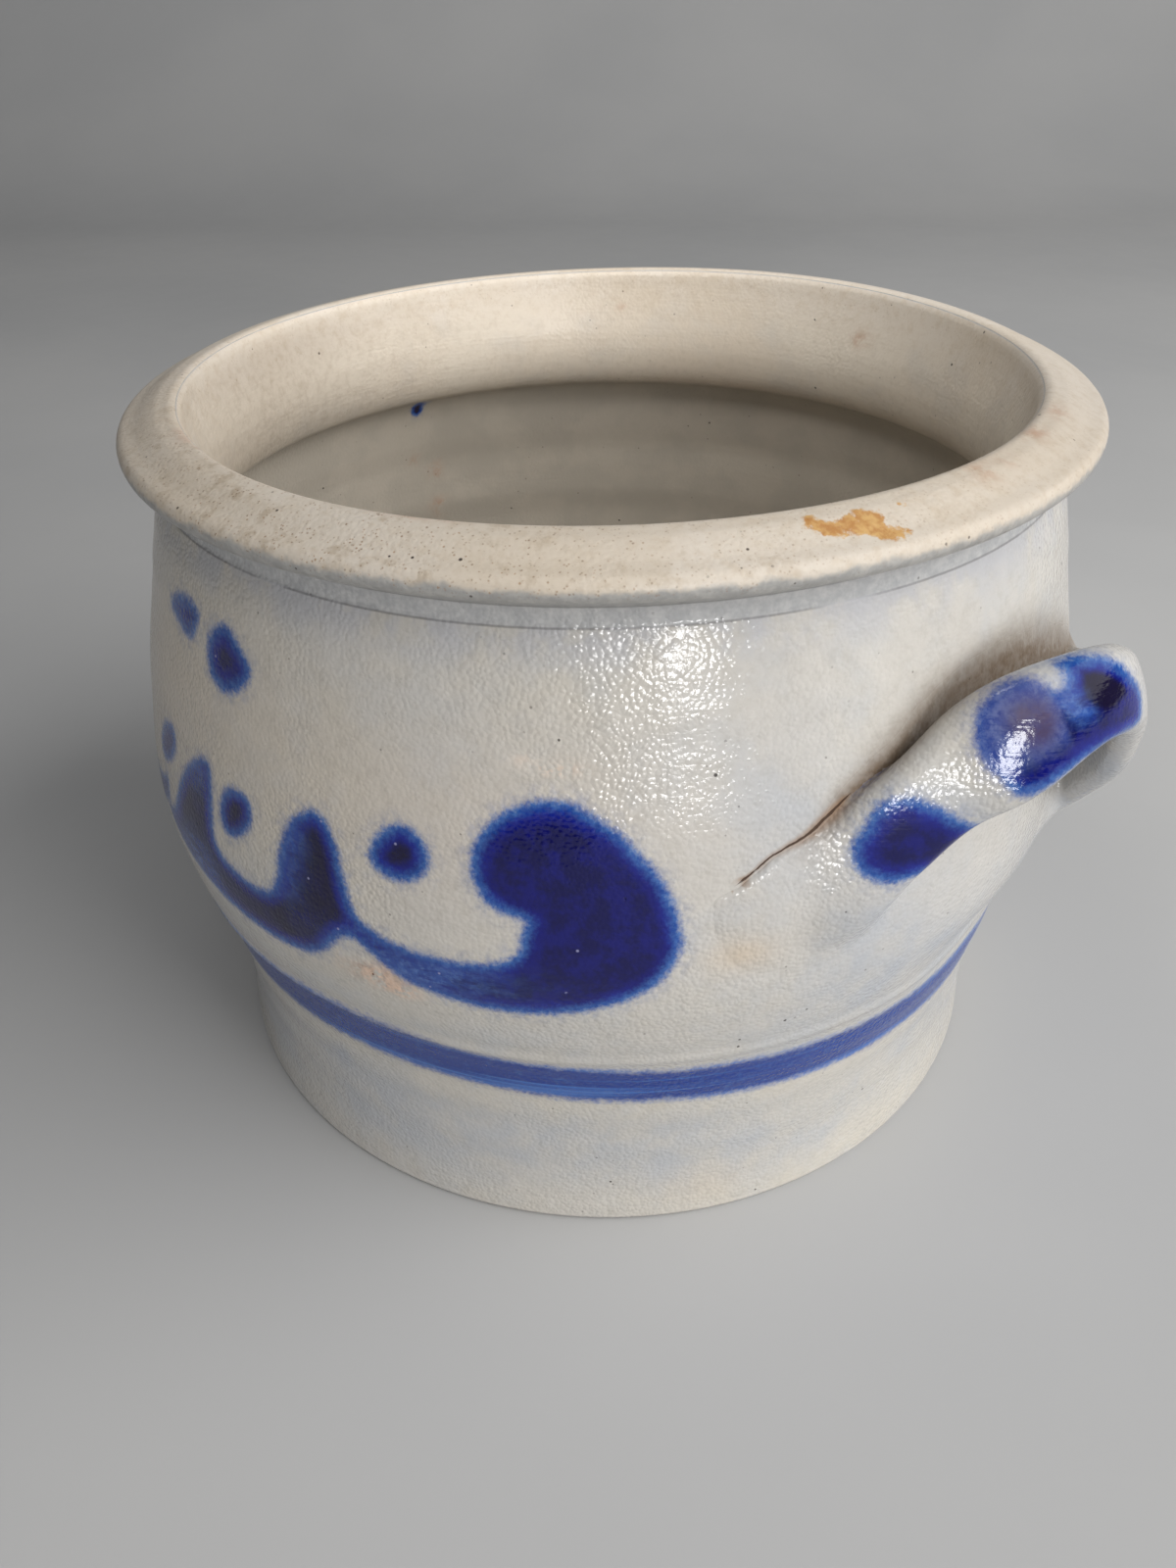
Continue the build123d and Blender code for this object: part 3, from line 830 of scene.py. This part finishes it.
    # painted shade: thin dark lines at the step (broken) and at the bead's undercut edge
    broken = R(N(t.scaled(at, (40.0, 40.0, 40.0)), 1.0, 3.0, 0.6), 0.36, 0.50)
    step_shade_line = M("MULTIPLY", R(M("ABSOLUTE", M("SUBTRACT", collar, 14.1)), 0.30, 0.08), broken)
    undercut_shade_line = R(M("ABSOLUTE", M("SUBTRACT", collar, 18.1)), 0.34, 0.08)
    body = t.mix(M("MULTIPLY", M("MAXIMUM", step_shade_line, undercut_shade_line), 0.55), body, srgb(112, 110, 108))
    # iron specks, most on the toasted rim
    speck = M("ADD", t.voronoi(at, 1250.0), M("MULTIPLY", M("SUBTRACT", N(at, 2200.0, 1.0), 0.5), 0.35))
    speck_on = R(N(at, 480.0, 4.0, 0.7), 0.43, 0.58)
    speck_m = M("MULTIPLY", M("MULTIPLY", R(speck, 0.36, 0.10), speck_on), M("ADD", 0.05, M("MULTIPLY", t.attr("specks"), 0.95)))
    body = t.mix(M("MULTIPLY", speck_m, 0.80), body, t.mix(R(fine, 0.4, 0.6), srgb(156, 118, 80), srgb(120, 92, 66)))
    dark_speck = M("MULTIPLY", R(t.voronoi(at, 290.0), 0.10, 0.05), R(N(at, 120.0, 1.0), 0.52, 0.60))
    body = t.mix(M("MULTIPLY", M("MULTIPLY", dark_speck, M("ADD", 0.60, t.attr("specks"))), 0.8, clamp=True), body, srgb(64, 54, 48))
    pit = t.voronoi(at, 150.0)
    pit_on = R(N(at, 61.0, 0.0), 0.55, 0.62)
    pit_m = M("MULTIPLY", R(pit, 0.060, 0.030), pit_on)
    body = t.mix(M("MULTIPLY", pit_m, 0.9), body, srgb(48, 42, 40))
    # stains
    st = M("MULTIPLY", R(M("ADD", stain, M("MULTIPLY", M("SUBTRACT", N(at, 330.0, 4.0, 0.7), 0.5), 1.5)), 0.42, 0.66), R(stain, 0.05, 0.3), clamp=True)
    body = t.mix(M("MULTIPLY", st, 0.88), body, t.mix(R(N(at, 500.0, 3.0, 0.6), 0.35, 0.65), srgb(176, 118, 44), srgb(204, 160, 92)))
    pk = M("MULTIPLY", pink, R(N(at, 330.0, 3.0, 0.65), 0.36, 0.60), clamp=True)
    body = t.mix(M("MULTIPLY", pk, 0.60), body, srgb(170, 118, 84))
    bare = M("MULTIPLY", t.attr("bare"), R(N(at, 380.0, 3.0, 0.65), 0.42, 0.52), clamp=True)
    body = t.mix(M("MULTIPLY", bare, 0.85), body, t.mix(R(mid, 0.4, 0.6), srgb(226, 194, 170), srgb(232, 224, 212)))
    # brown from the kiln with painted shade in the crevices of the ears and on the wall just above them; painted shade
    # on the left inside of the neck; a browner rim at its sides and back
    body = t.mix(M("MULTIPLY", toast_and_shade, M("ADD", 0.78, M("MULTIPLY", R(fine, 0.3, 0.7), 0.22)), clamp=True), body, srgb(102, 81, 59))

    # ---- cobalt
    ink = t.attr("ink")
    feather = M("ADD", ink, M("MULTIPLY", M("SUBTRACT", N(at, 1100.0, 2.0, 0.7), 0.5), 2.2))
    feather = M("ADD", feather, M("MULTIPLY", M("SUBTRACT", N(at, 240.0, 2.0, 0.5), 0.5), 0.9))
    soft = R(feather, -1.3, 1.2)
    halo = M("MULTIPLY", R(ink, -4.2, 0.2), M("MULTIPLY", R(fine, 0.38, 0.72), 0.36))
    cover = M("MAXIMUM", soft, halo)
    edge_col = t.mix(R(N(at, 700.0, 2.0, 0.6), 0.3, 0.7), srgb(32, 78, 152), srgb(64, 108, 172))
    mid_col = t.mix(R(N(at, 110.0, 3.0, 0.6), 0.35, 0.65), srgb(6, 12, 106), srgb(16, 30, 132))
    deep_col = t.mix(R(N(at, 240.0, 3.0, 0.65), 0.4, 0.66), srgb(4, 5, 72), srgb(9, 13, 100))
    col = t.mix(R(feather, 0.3, 3.2), edge_col, mid_col)
    col = t.mix(R(feather, 2.2, 5.4), col, deep_col)
    thick = M("ADD", M("MULTIPLY", t.attr("pool"), R(ink, 1.2, 5.0)), M("MULTIPLY", M("SUBTRACT", N(at, 70.0, 3.0, 0.6), 0.5), 0.9))
    thick = M("MULTIPLY", thick, M("SUBTRACT", 1.0, M("MULTIPLY", t.attr("thin"), 0.9)))
    col = t.mix(M("MULTIPLY", R(thick, 0.30, 1.0), 0.92), col, srgb(17, 10, 34))
    dry_brush = t.attr("thin")
    bristle = R(N(t.scaled(at, (150.0, 150.0, 520.0)), 1.0, 4.0, 0.7, 0.4), 0.36, 0.60)
    col = t.mix(M("MULTIPLY", dry_brush, M("ADD", 0.30, M("MULTIPLY", bristle, 0.70)), clamp=True), col, t.mix(R(fine, 0.4, 0.65), srgb(44, 76, 150), srgb(76, 108, 170)))
    washy = t.attr("wash")
    wash_col = t.mix(R(N(at, 420.0, 4.0, 0.7, 0.4), 0.40, 0.62), srgb(52, 74, 146), srgb(92, 108, 164))
    wash_col = t.mix(M("MULTIPLY", t.attr("violet"), M("ADD", 0.75, M("MULTIPLY", R(fine, 0.3, 0.7), 0.25)), clamp=True), wash_col, srgb(86, 74, 100))
    wash_n = R(N(at, 150.0, 4.0, 0.65, 0.6), 0.30, 0.60)
    col = t.mix(M("MULTIPLY", washy, M("ADD", 0.72, M("MULTIPLY", wash_n, 0.28)), clamp=True), col, wash_col)
    pin = t.voronoi(at, 260.0)
    pin_m = M("MULTIPLY", R(pin, 0.10, 0.05), R(N(at, 110.0, 0.0), 0.58, 0.64))
    col = t.mix(M("MULTIPLY", pin_m, 0.8), col, srgb(150, 150, 190))
    body = t.mix(cover, body, col)
    # ---- brushed band round the foot
    band = t.attr("band")                       # 0 in the middle, 1 at its edges
    streak = N(t.scaled(at, (9.0, 9.0, 900.0)), 1.0, 3.0, 0.65)
    load = N(t.scaled(at, (16.0, 16.0, 130.0)), 1.0, 2.0, 0.5)
    b_edge = M("ADD", band, M("MULTIPLY", M("SUBTRACT", streak, 0.5), 0.30))
    b_edge = M("ADD", b_edge, M("MULTIPLY", M("SUBTRACT", fine, 0.5), 0.40))
    b_edge = M("ADD", b_edge, M("MULTIPLY", M("SUBTRACT", N(at, 1000.0, 2.0, 0.6), 0.5), 0.35))
    b_edge = M("ADD", b_edge, M("MULTIPLY", M("SUBTRACT", N(at, 40.0, 2.0, 0.5), 0.5), 0.30))
    b_cover = R(b_edge, 1.26, 0.72)
    b_dens = R(M("SUBTRACT", M("ADD", streak, M("MULTIPLY", M("SUBTRACT", load, 0.5), 0.8)), M("MULTIPLY", R(band, 0.35, 1.0), 0.16)), 0.26, 0.56)
    b_col = t.mix(b_dens, srgb(26, 94, 178), srgb(6, 50, 134))
    b_col = t.mix(M("MULTIPLY", R(fine, 0.5, 0.75), 0.30), b_col, srgb(62, 112, 176))
    body = t.mix(M("MULTIPLY", b_cover, M("ADD", 0.96, M("MULTIPLY", b_dens, 0.04))), body, b_col)
    # the ear's crack
    crack_d = M("ABSOLUTE", M("ADD", t.attr("crack_d"), M("MULTIPLY", M("SUBTRACT", N(at, 500.0, 2.0), 0.5), 0.5)))
    crack_w = t.attr("crack_w")
    crack = M("MULTIPLY", R(M("DIVIDE", crack_d, M("MAXIMUM", crack_w, 0.02)), 1.0, 0.40), R(crack_w, 0.04, 0.2), clamp=True)
    brown = M("MULTIPLY", R(M("DIVIDE", crack_d, M("MAXIMUM", crack_w, 0.02)), 5.0, 0.8), R(crack_w, 0.04, 0.3), clamp=True)
    body = t.mix(M("MULTIPLY", brown, 0.60), body, srgb(140, 104, 70))
    body = t.mix(M("MULTIPLY", crack, 0.92), body, srgb(66, 44, 28))
    t.put(t.p.inputs["Base Color"], body)

    # ---- gloss
    dry = M("MAXIMUM", M("MULTIPLY", rim, 0.75), M("MULTIPLY", inner, 0.55))
    rough = M("ADD", 0.155, M("MULTIPLY", dry, 0.30))
    rough = M("ADD", rough, M("MULTIPLY", M("SUBTRACT", mid, 0.5), 0.14))
    rough = M("SUBTRACT", rough, M("MULTIPLY", cover, 0.03), clamp=True)
    rough = M("ADD", rough, M("MULTIPLY", toast_and_shade, 0.25))
    rough = M("ADD", rough, M("MULTIPLY", foot, 0.16), clamp=True)
    t.put(t.p.inputs["Roughness"], rough)
    t.p.inputs["IOR"].default_value = 1.5
    # ---- relief
    amount = M("SUBTRACT", 1.0, M("MULTIPLY", dry, 0.70))
    strong = M("ADD", 0.55, M("MULTIPLY", R(N(at, 33.0, 2.0), 0.35, 0.62), 0.55))
    height = M("MULTIPLY", M("ADD", M("MULTIPLY", M("MULTIPLY", peel, strong), -1.0), M("MULTIPLY", peel2, 0.12)), amount)
    height = M("MULTIPLY", height, M("SUBTRACT", 1.0, M("MULTIPLY", cover, 0.72 if ear else 0.35)))
    height = M("SUBTRACT", height, M("MULTIPLY", pit_m, 1.2))
    height = M("SUBTRACT", height, M("MULTIPLY", crack, 3.0))
    n1 = t.bump(height, 0.00016)
    lines = N(t.scaled(at, (7.0, 7.0, 620.0)), 1.0, 3.0, 0.6)
    n2 = t.bump(M("ADD", lines, M("MULTIPLY", grain, 0.25)), 0.00008, 1.0, n1)
    t.put(t.p.inputs["Normal"], n2)
    return t.m


# ---------------------------------------------------------------- meshes into Blender
def make_object(name, co_mm, faces, uv=None):
    me = bpy.data.meshes.new(name)
    me.from_pydata((np.asarray(co_mm) / 1000.0).tolist(), [], [tuple(int(i) for i in f) for f in faces])
    me.validate()
    if uv is not None:
        layer = me.uv_layers.new(name="OFBake")
        layer.data.foreach_set("uv", np.asarray(uv, np.float32).ravel())
    me.polygons.foreach_set("use_smooth", [True] * len(me.polygons))
    me.update()
    ob = bpy.data.objects.new(name, me)
    bpy.context.scene.collection.objects.link(ob)
    return ob


def put_attribute(ob, name, values):
    a = ob.data.attributes.new(name, "FLOAT", "POINT")
    a.data.foreach_set("value", np.asarray(values, np.float32))


def band_field(deg, z):
    """0 in the middle of the blue band, 1 at its edges."""
    at = [-240, -200, -160, -120, -90, -80, -70, -60, -50, -40, -30, -20, -12, 10, 45, 85, 120]
    top = np.interp(deg, at, [57.5, 58.5, 59.2, 60.5, 61.4, 61.5, 61.0, 58.4, 57.0, 56.2, 55.6, 55.0, 54.2, 53.8, 55.0, 56.8, 57.5])
    low = np.interp(deg, at, [43.0, 44.0, 44.6, 45.4, 45.6, 45.4, 45.0, 44.8, 44.0, 43.0, 42.0, 41.0, 40.2, 40.0, 41.0, 42.2, 43.0])
    return np.abs(z - (top + low) / 2) / ((top - low) / 2)


def warm_wall(deg, z):
    """Where the colour is warmer, broadly so round the left side."""
    return (blob(deg, z, -34, 92, 6, 4) * 0.8 + 0.30 * blob(deg, z, -62, 118, 40, 18) + 0.40 * blob(deg, z, -105, 122, 46, 22) + 0.25 * blob(deg, z, -34, 10, 12, 6)
            + 0.45 * blob(deg, z, -135, 100, 60, 60))


def cool_wall(deg, z):
    """Where the glaze is greyer and bluer; the patches under the right ear (at -16 and 6 degrees near 76 mm, and at -17
    degrees near 92 mm) are painted shade.
    """
    return (0.25 * smooth(142, 153, z) * (1 - smooth(157, 158, z)) * (0.4 + 0.6 * blob(deg, z * 0, -80, 0, 70, 9)) + 0.75 * blob(deg, z, -16, 76, 24, 14) + 0.7 * blob(deg, z, 6, 76, 24, 14)
            + 0.7 * blob(deg, z, -83, 36, 3, 4) + 0.5 * blob(deg, z, -17, 92, 18, 12) + 0.3 * smooth(78, 64, z) * smooth(40, 56, z) + 0.60 * smooth(42, 30, z) * smooth(4, 18, z)
            + 0.8 * blob(deg, z, -84, 160, 6, 2.2) + 0.5 * blob(deg, z, -28, 120, 14, 20))


ear_turns = {"right": 0.0, "left": math.pi}
ear_data = {}
STEP = 0.85
for side, turn in ear_turns.items():
    ear_data[side] = build_ear(turn, STEP)


# the body
co, faces, uv = body_mesh()
body = make_object("crock_body_thrown", co, faces, uv)
az, r, z = unsettle(co)
az = (az + 2 * math.pi) % (2 * math.pi)
deg, ink, pool = paint_body(az, z)
wall_r = wall(np.clip(z, 0, 156))
under = (z < 1.0) & (r < 100)
inside = ((z < 156) & (r < wall_r - 4.0) & ~under) | ((z >= 156) & (r < 94.3))
depth = np.where(inside, np.clip((166.5 - z) / 30, 0, 1), 0)
ink = np.where(inside | under | (z > 156), -12, ink)
rim = smooth(155.0, 160.5, z) * (1 - np.where(inside, smooth(166, 152, z), 0))
specks = rim * np.clip(0.22 + 0.80 * blob(deg, z * 0, -82, 0, 90, 9), 0, 1) * smooth(160.5, 164.5, z)
collar = np.where(inside | under, 0, np.clip(z - 140, 0, 30))        # height over a line 140 mm up, outside only
warm = warm_wall(deg, z) * (1 - rim) + 0.75 * rim * blob(deg, z * 0, -140, 0, 60, 9) + 0.60 * rim * blob(deg, z * 0, 15, 0, 55, 9)
cool = cool_wall(deg, z)
cool = np.where(inside | under, 0, cool)
foot = smooth(6, 0, z)
on_top = smooth(163.2, 164.6, z)
stain = (0.8 * blob(deg, (r - 101.0), -25.6, 0, 5.0, 2.2) + 0.9 * blob(deg, (r - 101.0), -21.8, 0, 3.2, 4.0) + 0.7 * blob(deg, (r - 104.6), -19.6, 0, 4.2, 1.6) + 0.6 * blob(deg, (r - 98.2), -27.4, 0, 3.0, 1.4)
         + 0.5 * blob(deg, (r - 99.5), -17.4, 0, 2.0, 1.2)) * on_top
pink = on_top * (0.9 * blob(deg, r, -5.5, 98, 3.2, 2.6) + 0.7 * blob(deg, r, -1, 98, 2.4, 2.0) + 0.9 * blob(deg, r, 8, 97, 4.0, 2.2) + 0.7 * blob(deg, r, 16.5, 97.5, 4.5, 2.0) + 0.8 * blob(deg, r, -65, 94.6, 10, 1.2)
                 + 0.6 * blob(deg, r, -108, 95, 12, 1.6)) + blob(deg, z, -70, 80, 7, 3.5)
pink = pink + np.where(inside, 0.9 * blob(deg, z, 82.8 - 360, 157.5, 4.0, 1.8) + 0.9 * blob(deg, z, 82.8, 157.5, 4.0, 1.8) + 0.6 * blob(deg, z, 129.5 - 360, 159.9, 1.6, 1.2) + 0.8 * blob(deg, z, -196.6, 112, 2.2, 2.4)
                       + 0.8 * blob(deg, z, -196.7, 100.2, 2.6, 2.6) + 0.5 * blob(deg, z, -192.6, 117, 2.0, 1.8), 0)
drip = np.where(inside & (z < 150), 1.9 - np.hypot((deg + 193.2) * 1.68 / 1.0, (z - 133.6) / 1.35), -12)
drip = np.maximum(drip, np.where(inside & (z < 150), 0.6 - np.hypot((deg + 194.6) * 1.68 / 1.3, (z - 135.6) / 1.3), -12))
ink = np.maximum(ink, np.clip(drip * 3.0, -12, 6)); pool = np.where(drip > -1, 1.6, pool)
bare = np.where(inside | under, 0, blob(deg, z, -70.5, 80, 5.5, 3.0) + 0.9 * blob(deg, z, -67.5, 77.5, 3.5, 2.0) + 0.8 * blob(deg, z, -51.5, 130.5, 4.5, 0.9) + 0.7 * blob(deg, z, -54.5, 131.2, 3.0, 0.7))
thin = np.clip(1.1 * blob(deg, z, -65, 84.5, 15, 4.5) + 0.9 * blob(deg, z, -80.4, 106.5, 4.0, 7.0) + 0.6 * blob(deg, z, -81.0, 96.0, 3.6, 5.0) + 0.8 * blob(deg, z, -97.5, 107.5, 5.0, 5.0) + 0.9 * blob(deg, z, -99, 84, 12, 6) + 0.9 * blob(deg, z, -118, 84, 16, 7), 0, 1)
toast_and_shade = np.zeros(len(co)); crack_d = np.full(len(co), 9.0); crack_w = np.zeros(len(co))
for side, turn in ear_turns.items():
    f = ear_data[side][3]
    rel = np.degrees((az - turn + math.pi) % (2 * math.pi) - math.pi)
    m = (np.abs(rel) < 48) & (z > 60) & (z < 156) & ~inside
    d, u, a, b, half = ear_distance(co[m], f)
    _, sd, along = smear(rel[m], z[m])
    t_ = np.zeros(m.sum())
    above = smooth(-0.2, 0.5, a / half)
    # painted shade with kiln brown: dark next to each strap, and a soft dark band on the wall just above its upper edge
    t_ = np.maximum(t_, 0.95 * smooth(5.5, 0.6, d) * above * smooth(1.2, 2.4, u))
    line = np.interp(rel[m], [-24, -22, -19, -15, -12, -9, -6, -3, 0, 3, 6, 9, 13, 16, 20, 25, 30], [122, 124, 127.2, 132.5, 134.7, 136, 136.7, 136.8, 136.5, 135.2, 133.6, 131.5, 128.5, 126, 122, 117, 113])
    t_ = np.maximum(t_, 0.90 * smooth(line + 6.5, line - 4.5, z[m]) * smooth(line - 28, line - 15, z[m]) * smooth(-25.0, -20.5, rel[m]) * smooth(29.0, 20.0, rel[m]))
    toast_and_shade[m] = np.maximum(toast_and_shade[m], t_)
    crack_d[m] = sd
    crack_w[m] = crack_width(along) * np.where(np.abs(sd) < 8, 1, 0)
# painted shade: the inside of the neck is darkened and browned on its left, more than at its back
toast_and_shade = np.maximum(toast_and_shade, np.where(inside, 0.42 * smooth(136, 142, z) * smooth(170, 163, z) * blob(deg, z * 0, -160, 0, 62, 9), 0))
# and the rim is browner at its two sides and its back than at its front
toast_and_shade = np.maximum(toast_and_shade, rim * (0.17 * blob(deg, z * 0, 20, 0, 60, 9) + 0.14 * blob(deg, z * 0, -137, 0, 50, 9) + 0.12 * (blob(deg, z * 0, -227, 0, 70, 9) + blob(deg, z * 0, 133, 0, 70, 9))))
for name, values in dict(ink=ink, pool=pool, wash=0 * ink, violet=0 * ink, rim=rim, collar=collar, bare=bare, thin=thin, inner=np.where(inside, smooth(168, 160, z), 0), belly=np.where(inside, smooth(139, 135, z), 0), foot=np.where(under, 1, foot), toast_and_shade=toast_and_shade, cool=cool, warm=warm, stain=stain, pink=pink,
                         specks=specks, band=np.where(inside | under, 9.0, band_field(deg, z)), crack_d=crack_d, crack_w=crack_w).items():
    put_attribute(body, name, values)

glaze_body = stoneware("salt_glazed_stoneware", False)
glaze_ear = stoneware("salt_glazed_stoneware_ears", True)
body.data.materials.append(glaze_body)
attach(body, "root")
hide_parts("crock_body")

for side, turn in ear_turns.items():
    p, quads, info, f = ear_data[side]
    ob = make_object("strap_ear_" + side, p, quads)
    ink, pool, wash, thin, violet = paint_ear(info, f)
    deg, ink_b, pool_b = paint_body((info["az"] + 2 * math.pi) % (2 * math.pi), info["z"])
    q = info["a"] / info["half"]
    # brown from the kiln with painted shade where the strap comes near the wall on its upper half, along its upper
    # edge, and at its far root
    toast_and_shade = 0.8 * smooth(3.2, 0.2, info["h"]) * smooth(0.45, 0.95, q) * smooth(1.0, 2.2, info["u"])
    toast_and_shade = np.maximum(toast_and_shade, 0.42 * smooth(0.86, 1.04, q) * smooth(1.5, 3.0, info["u"]) * smooth(5.4, 4.6, info["u"]))
    toast_and_shade = np.maximum(toast_and_shade, 0.7 * smooth(5.0, 0.6, info["h"]) * smooth(0.2, 0.8, q) * smooth(9.5, 11.5, info["u"]))
    crack_w = crack_width(info["along"]) * np.where((np.abs(info["sd"]) < 8) & (info["h"] < 2.0), 1, 0)
    off = smooth(0.4, 4.0, info["h"])                            # 0 where the clay lies on the wall
    # the strap's own grey-blue, with painted shade: greyer and darker on its inner face towards the wall and low on its
    # near root
    cool = 0.20 + 0.45 * blob(info["deg"], info["z"], -16, 96, 20, 16) + 0.25 * smooth(-0.5, 0.5, waves(info["az"], info["z"], 21, 5, 3, 9, 20.0)) + 0.45 * smooth(2.0, -2.0, info["b"])
    cool = cool_wall(deg, info["z"]) * (1 - off) + cool * off
    warm = warm_wall(deg, info["z"]) * (1 - off)
    zero = 0 * q
    for name, values in dict(ink=ink, pool=pool, wash=wash, violet=violet, rim=zero, collar=zero, bare=zero, thin=thin, inner=zero, belly=zero, foot=zero, toast_and_shade=toast_and_shade, cool=cool, warm=warm, stain=zero, pink=zero, specks=zero,
                             band=np.where(info["h"] < 0.8, band_field(deg, info["z"]), 9.0), crack_d=info["sd"], crack_w=crack_w).items():
        put_attribute(ob, name, values)
    ob.data.materials.append(glaze_ear)
    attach(ob, "root")
    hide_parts("handle_" + side)

# ---------------------------------------------------------------- stage, light, camera
me = bpy.data.meshes.new("floor")
S = 3.0
sweep = [(-S, 0.0), (1.2, 0.0)] + [(1.2 + 0.6 * math.sin(a), 0.6 - 0.6 * math.cos(a)) for a in np.radians(np.arange(6, 91, 6))] + [(1.8, 3.0)]
vs, fs = [], []
back = Vector((math.sin(TURN) * -1, math.cos(TURN), 0))       # away from the camera
side_v = Vector((math.cos(TURN), math.sin(TURN), 0))
for d, h in sweep:
    for s in (-S, S):
        vs.append(back * d + side_v * s + Vector((0, 0, h)))
for i in range(len(sweep) - 1):
    fs.append((2 * i, 2 * i + 1, 2 * i + 3, 2 * i + 2))
me.from_pydata([tuple(v) for v in vs], [], fs)
me.polygons.foreach_set("use_smooth", [True] * len(me.polygons))
floor = bpy.data.objects.new("floor", me)
bpy.context.scene.collection.objects.link(floor)
tf = Tree("floor_paper")
fa = tf.coords()
tf.put(tf.p.inputs["Base Color"], tf.mix(tf.ramp(tf.noise(fa, 3.0, 3.0), 0.3, 0.7), (0.46, 0.463, 0.467, 1), (0.50, 0.50, 0.50, 1)))
tf.put(tf.p.inputs["Roughness"], tf.ramp(tf.noise(fa, 40.0, 3.0), 0.3, 0.7, 0.75, 0.9))
floor.data.materials.append(tf.m)


def direction(photo_az, el):
    a, e = math.radians(photo_az) + TURN, math.radians(el)
    return Vector((math.cos(a) * math.cos(e), math.sin(a) * math.cos(e), math.sin(e)))


def area(name, photo_az, el, dist, size, size_y, power, colour=(1, 1, 1), aim=(0, 0, 0.09)):
    d = bpy.data.lights.new(name, "AREA")
    d.shape = "RECTANGLE"
    d.size, d.size_y, d.energy, d.color = size, size_y, power, colour
    o = bpy.data.objects.new(name, d)
    bpy.context.scene.collection.objects.link(o)
    o.location = Vector(aim) + direction(photo_az, el) * dist
    o.rotation_mode = "QUATERNION"
    o.rotation_quaternion = (-direction(photo_az, el)).to_track_quat("-Z", "Y")
    return o


area("key", -22, 36, 1.7, 1.9, 1.6, 10.5, (1.0, 0.99, 0.97))
area("key_matt", -22, 36, 1.7, 1.9, 1.6, 27.8, (1.0, 0.99, 0.97)).visible_glossy = False      # lights the clay without a sheen on the glaze
area("window", -77, 9, 1.7, 0.28, 0.42, 7.4, (1.0, 1.0, 1.0))
area("fill", -70, 38, 2.0, 1.7, 1.3, 5.5, (1.0, 0.99, 0.97))
area("overhead", -95, 74, 2.0, 1.6, 1.3, 3.5, (1.0, 0.995, 0.98))
throat = area("throat", 0, 0, 0.0, 0.12, 0.12, 0.078, (1.0, 0.985, 0.955))
throat.location = direction(-115, 0) * 0.075 + Vector((0, 0, 0.37))
throat.rotation_quaternion = (direction(65, 0) * 0.092 + Vector((0, 0, 0.150)) - throat.location).to_track_quat("-Z", "Y")
throat.data.spread = math.radians(75)
throat.visible_camera = False
world = bpy.data.worlds.new("studio")
world.use_nodes = True
world.node_tree.nodes["Background"].inputs[0].default_value = (0.86, 0.88, 0.92, 1)
world.node_tree.nodes["Background"].inputs[1].default_value = 0.09
bpy.context.scene.world = world
bpy.context.scene.view_settings.view_transform = "Standard"

cam_data = bpy.data.cameras.new("camera")
cam = bpy.data.objects.new("camera", cam_data)
bpy.context.scene.collection.objects.link(cam)
cam_data.sensor_fit = "AUTO"
cam_data.sensor_width = 36.0
cam_data.lens = 36.0 * 1210.0 / 1600.0
cam_data.clip_start, cam_data.clip_end = 0.01, 20
PITCH, YAW, ROLL, DIST, HIGH = 0.603688, -0.017523, -0.010143, 2.649447, 2.337218
fwd = Vector((math.sin(YAW) * math.cos(PITCH), math.cos(YAW) * math.cos(PITCH), -math.sin(PITCH)))
right = Vector((math.cos(YAW), -math.sin(YAW), 0))
up = right.cross(fwd)
r2 = right * math.cos(ROLL) + up * math.sin(ROLL)
u2 = up * math.cos(ROLL) - right * math.sin(ROLL)
spin = Matrix.Rotation(TURN, 4, "Z")
rot = Matrix((r2, u2, -fwd)).transposed().to_4x4()
cam.matrix_world = spin @ Matrix.Translation(Vector((0, -DIST, HIGH)) * UNIT / 1000.0) @ rot
bpy.context.scene.camera = cam

bpy.context.view_layer.update()
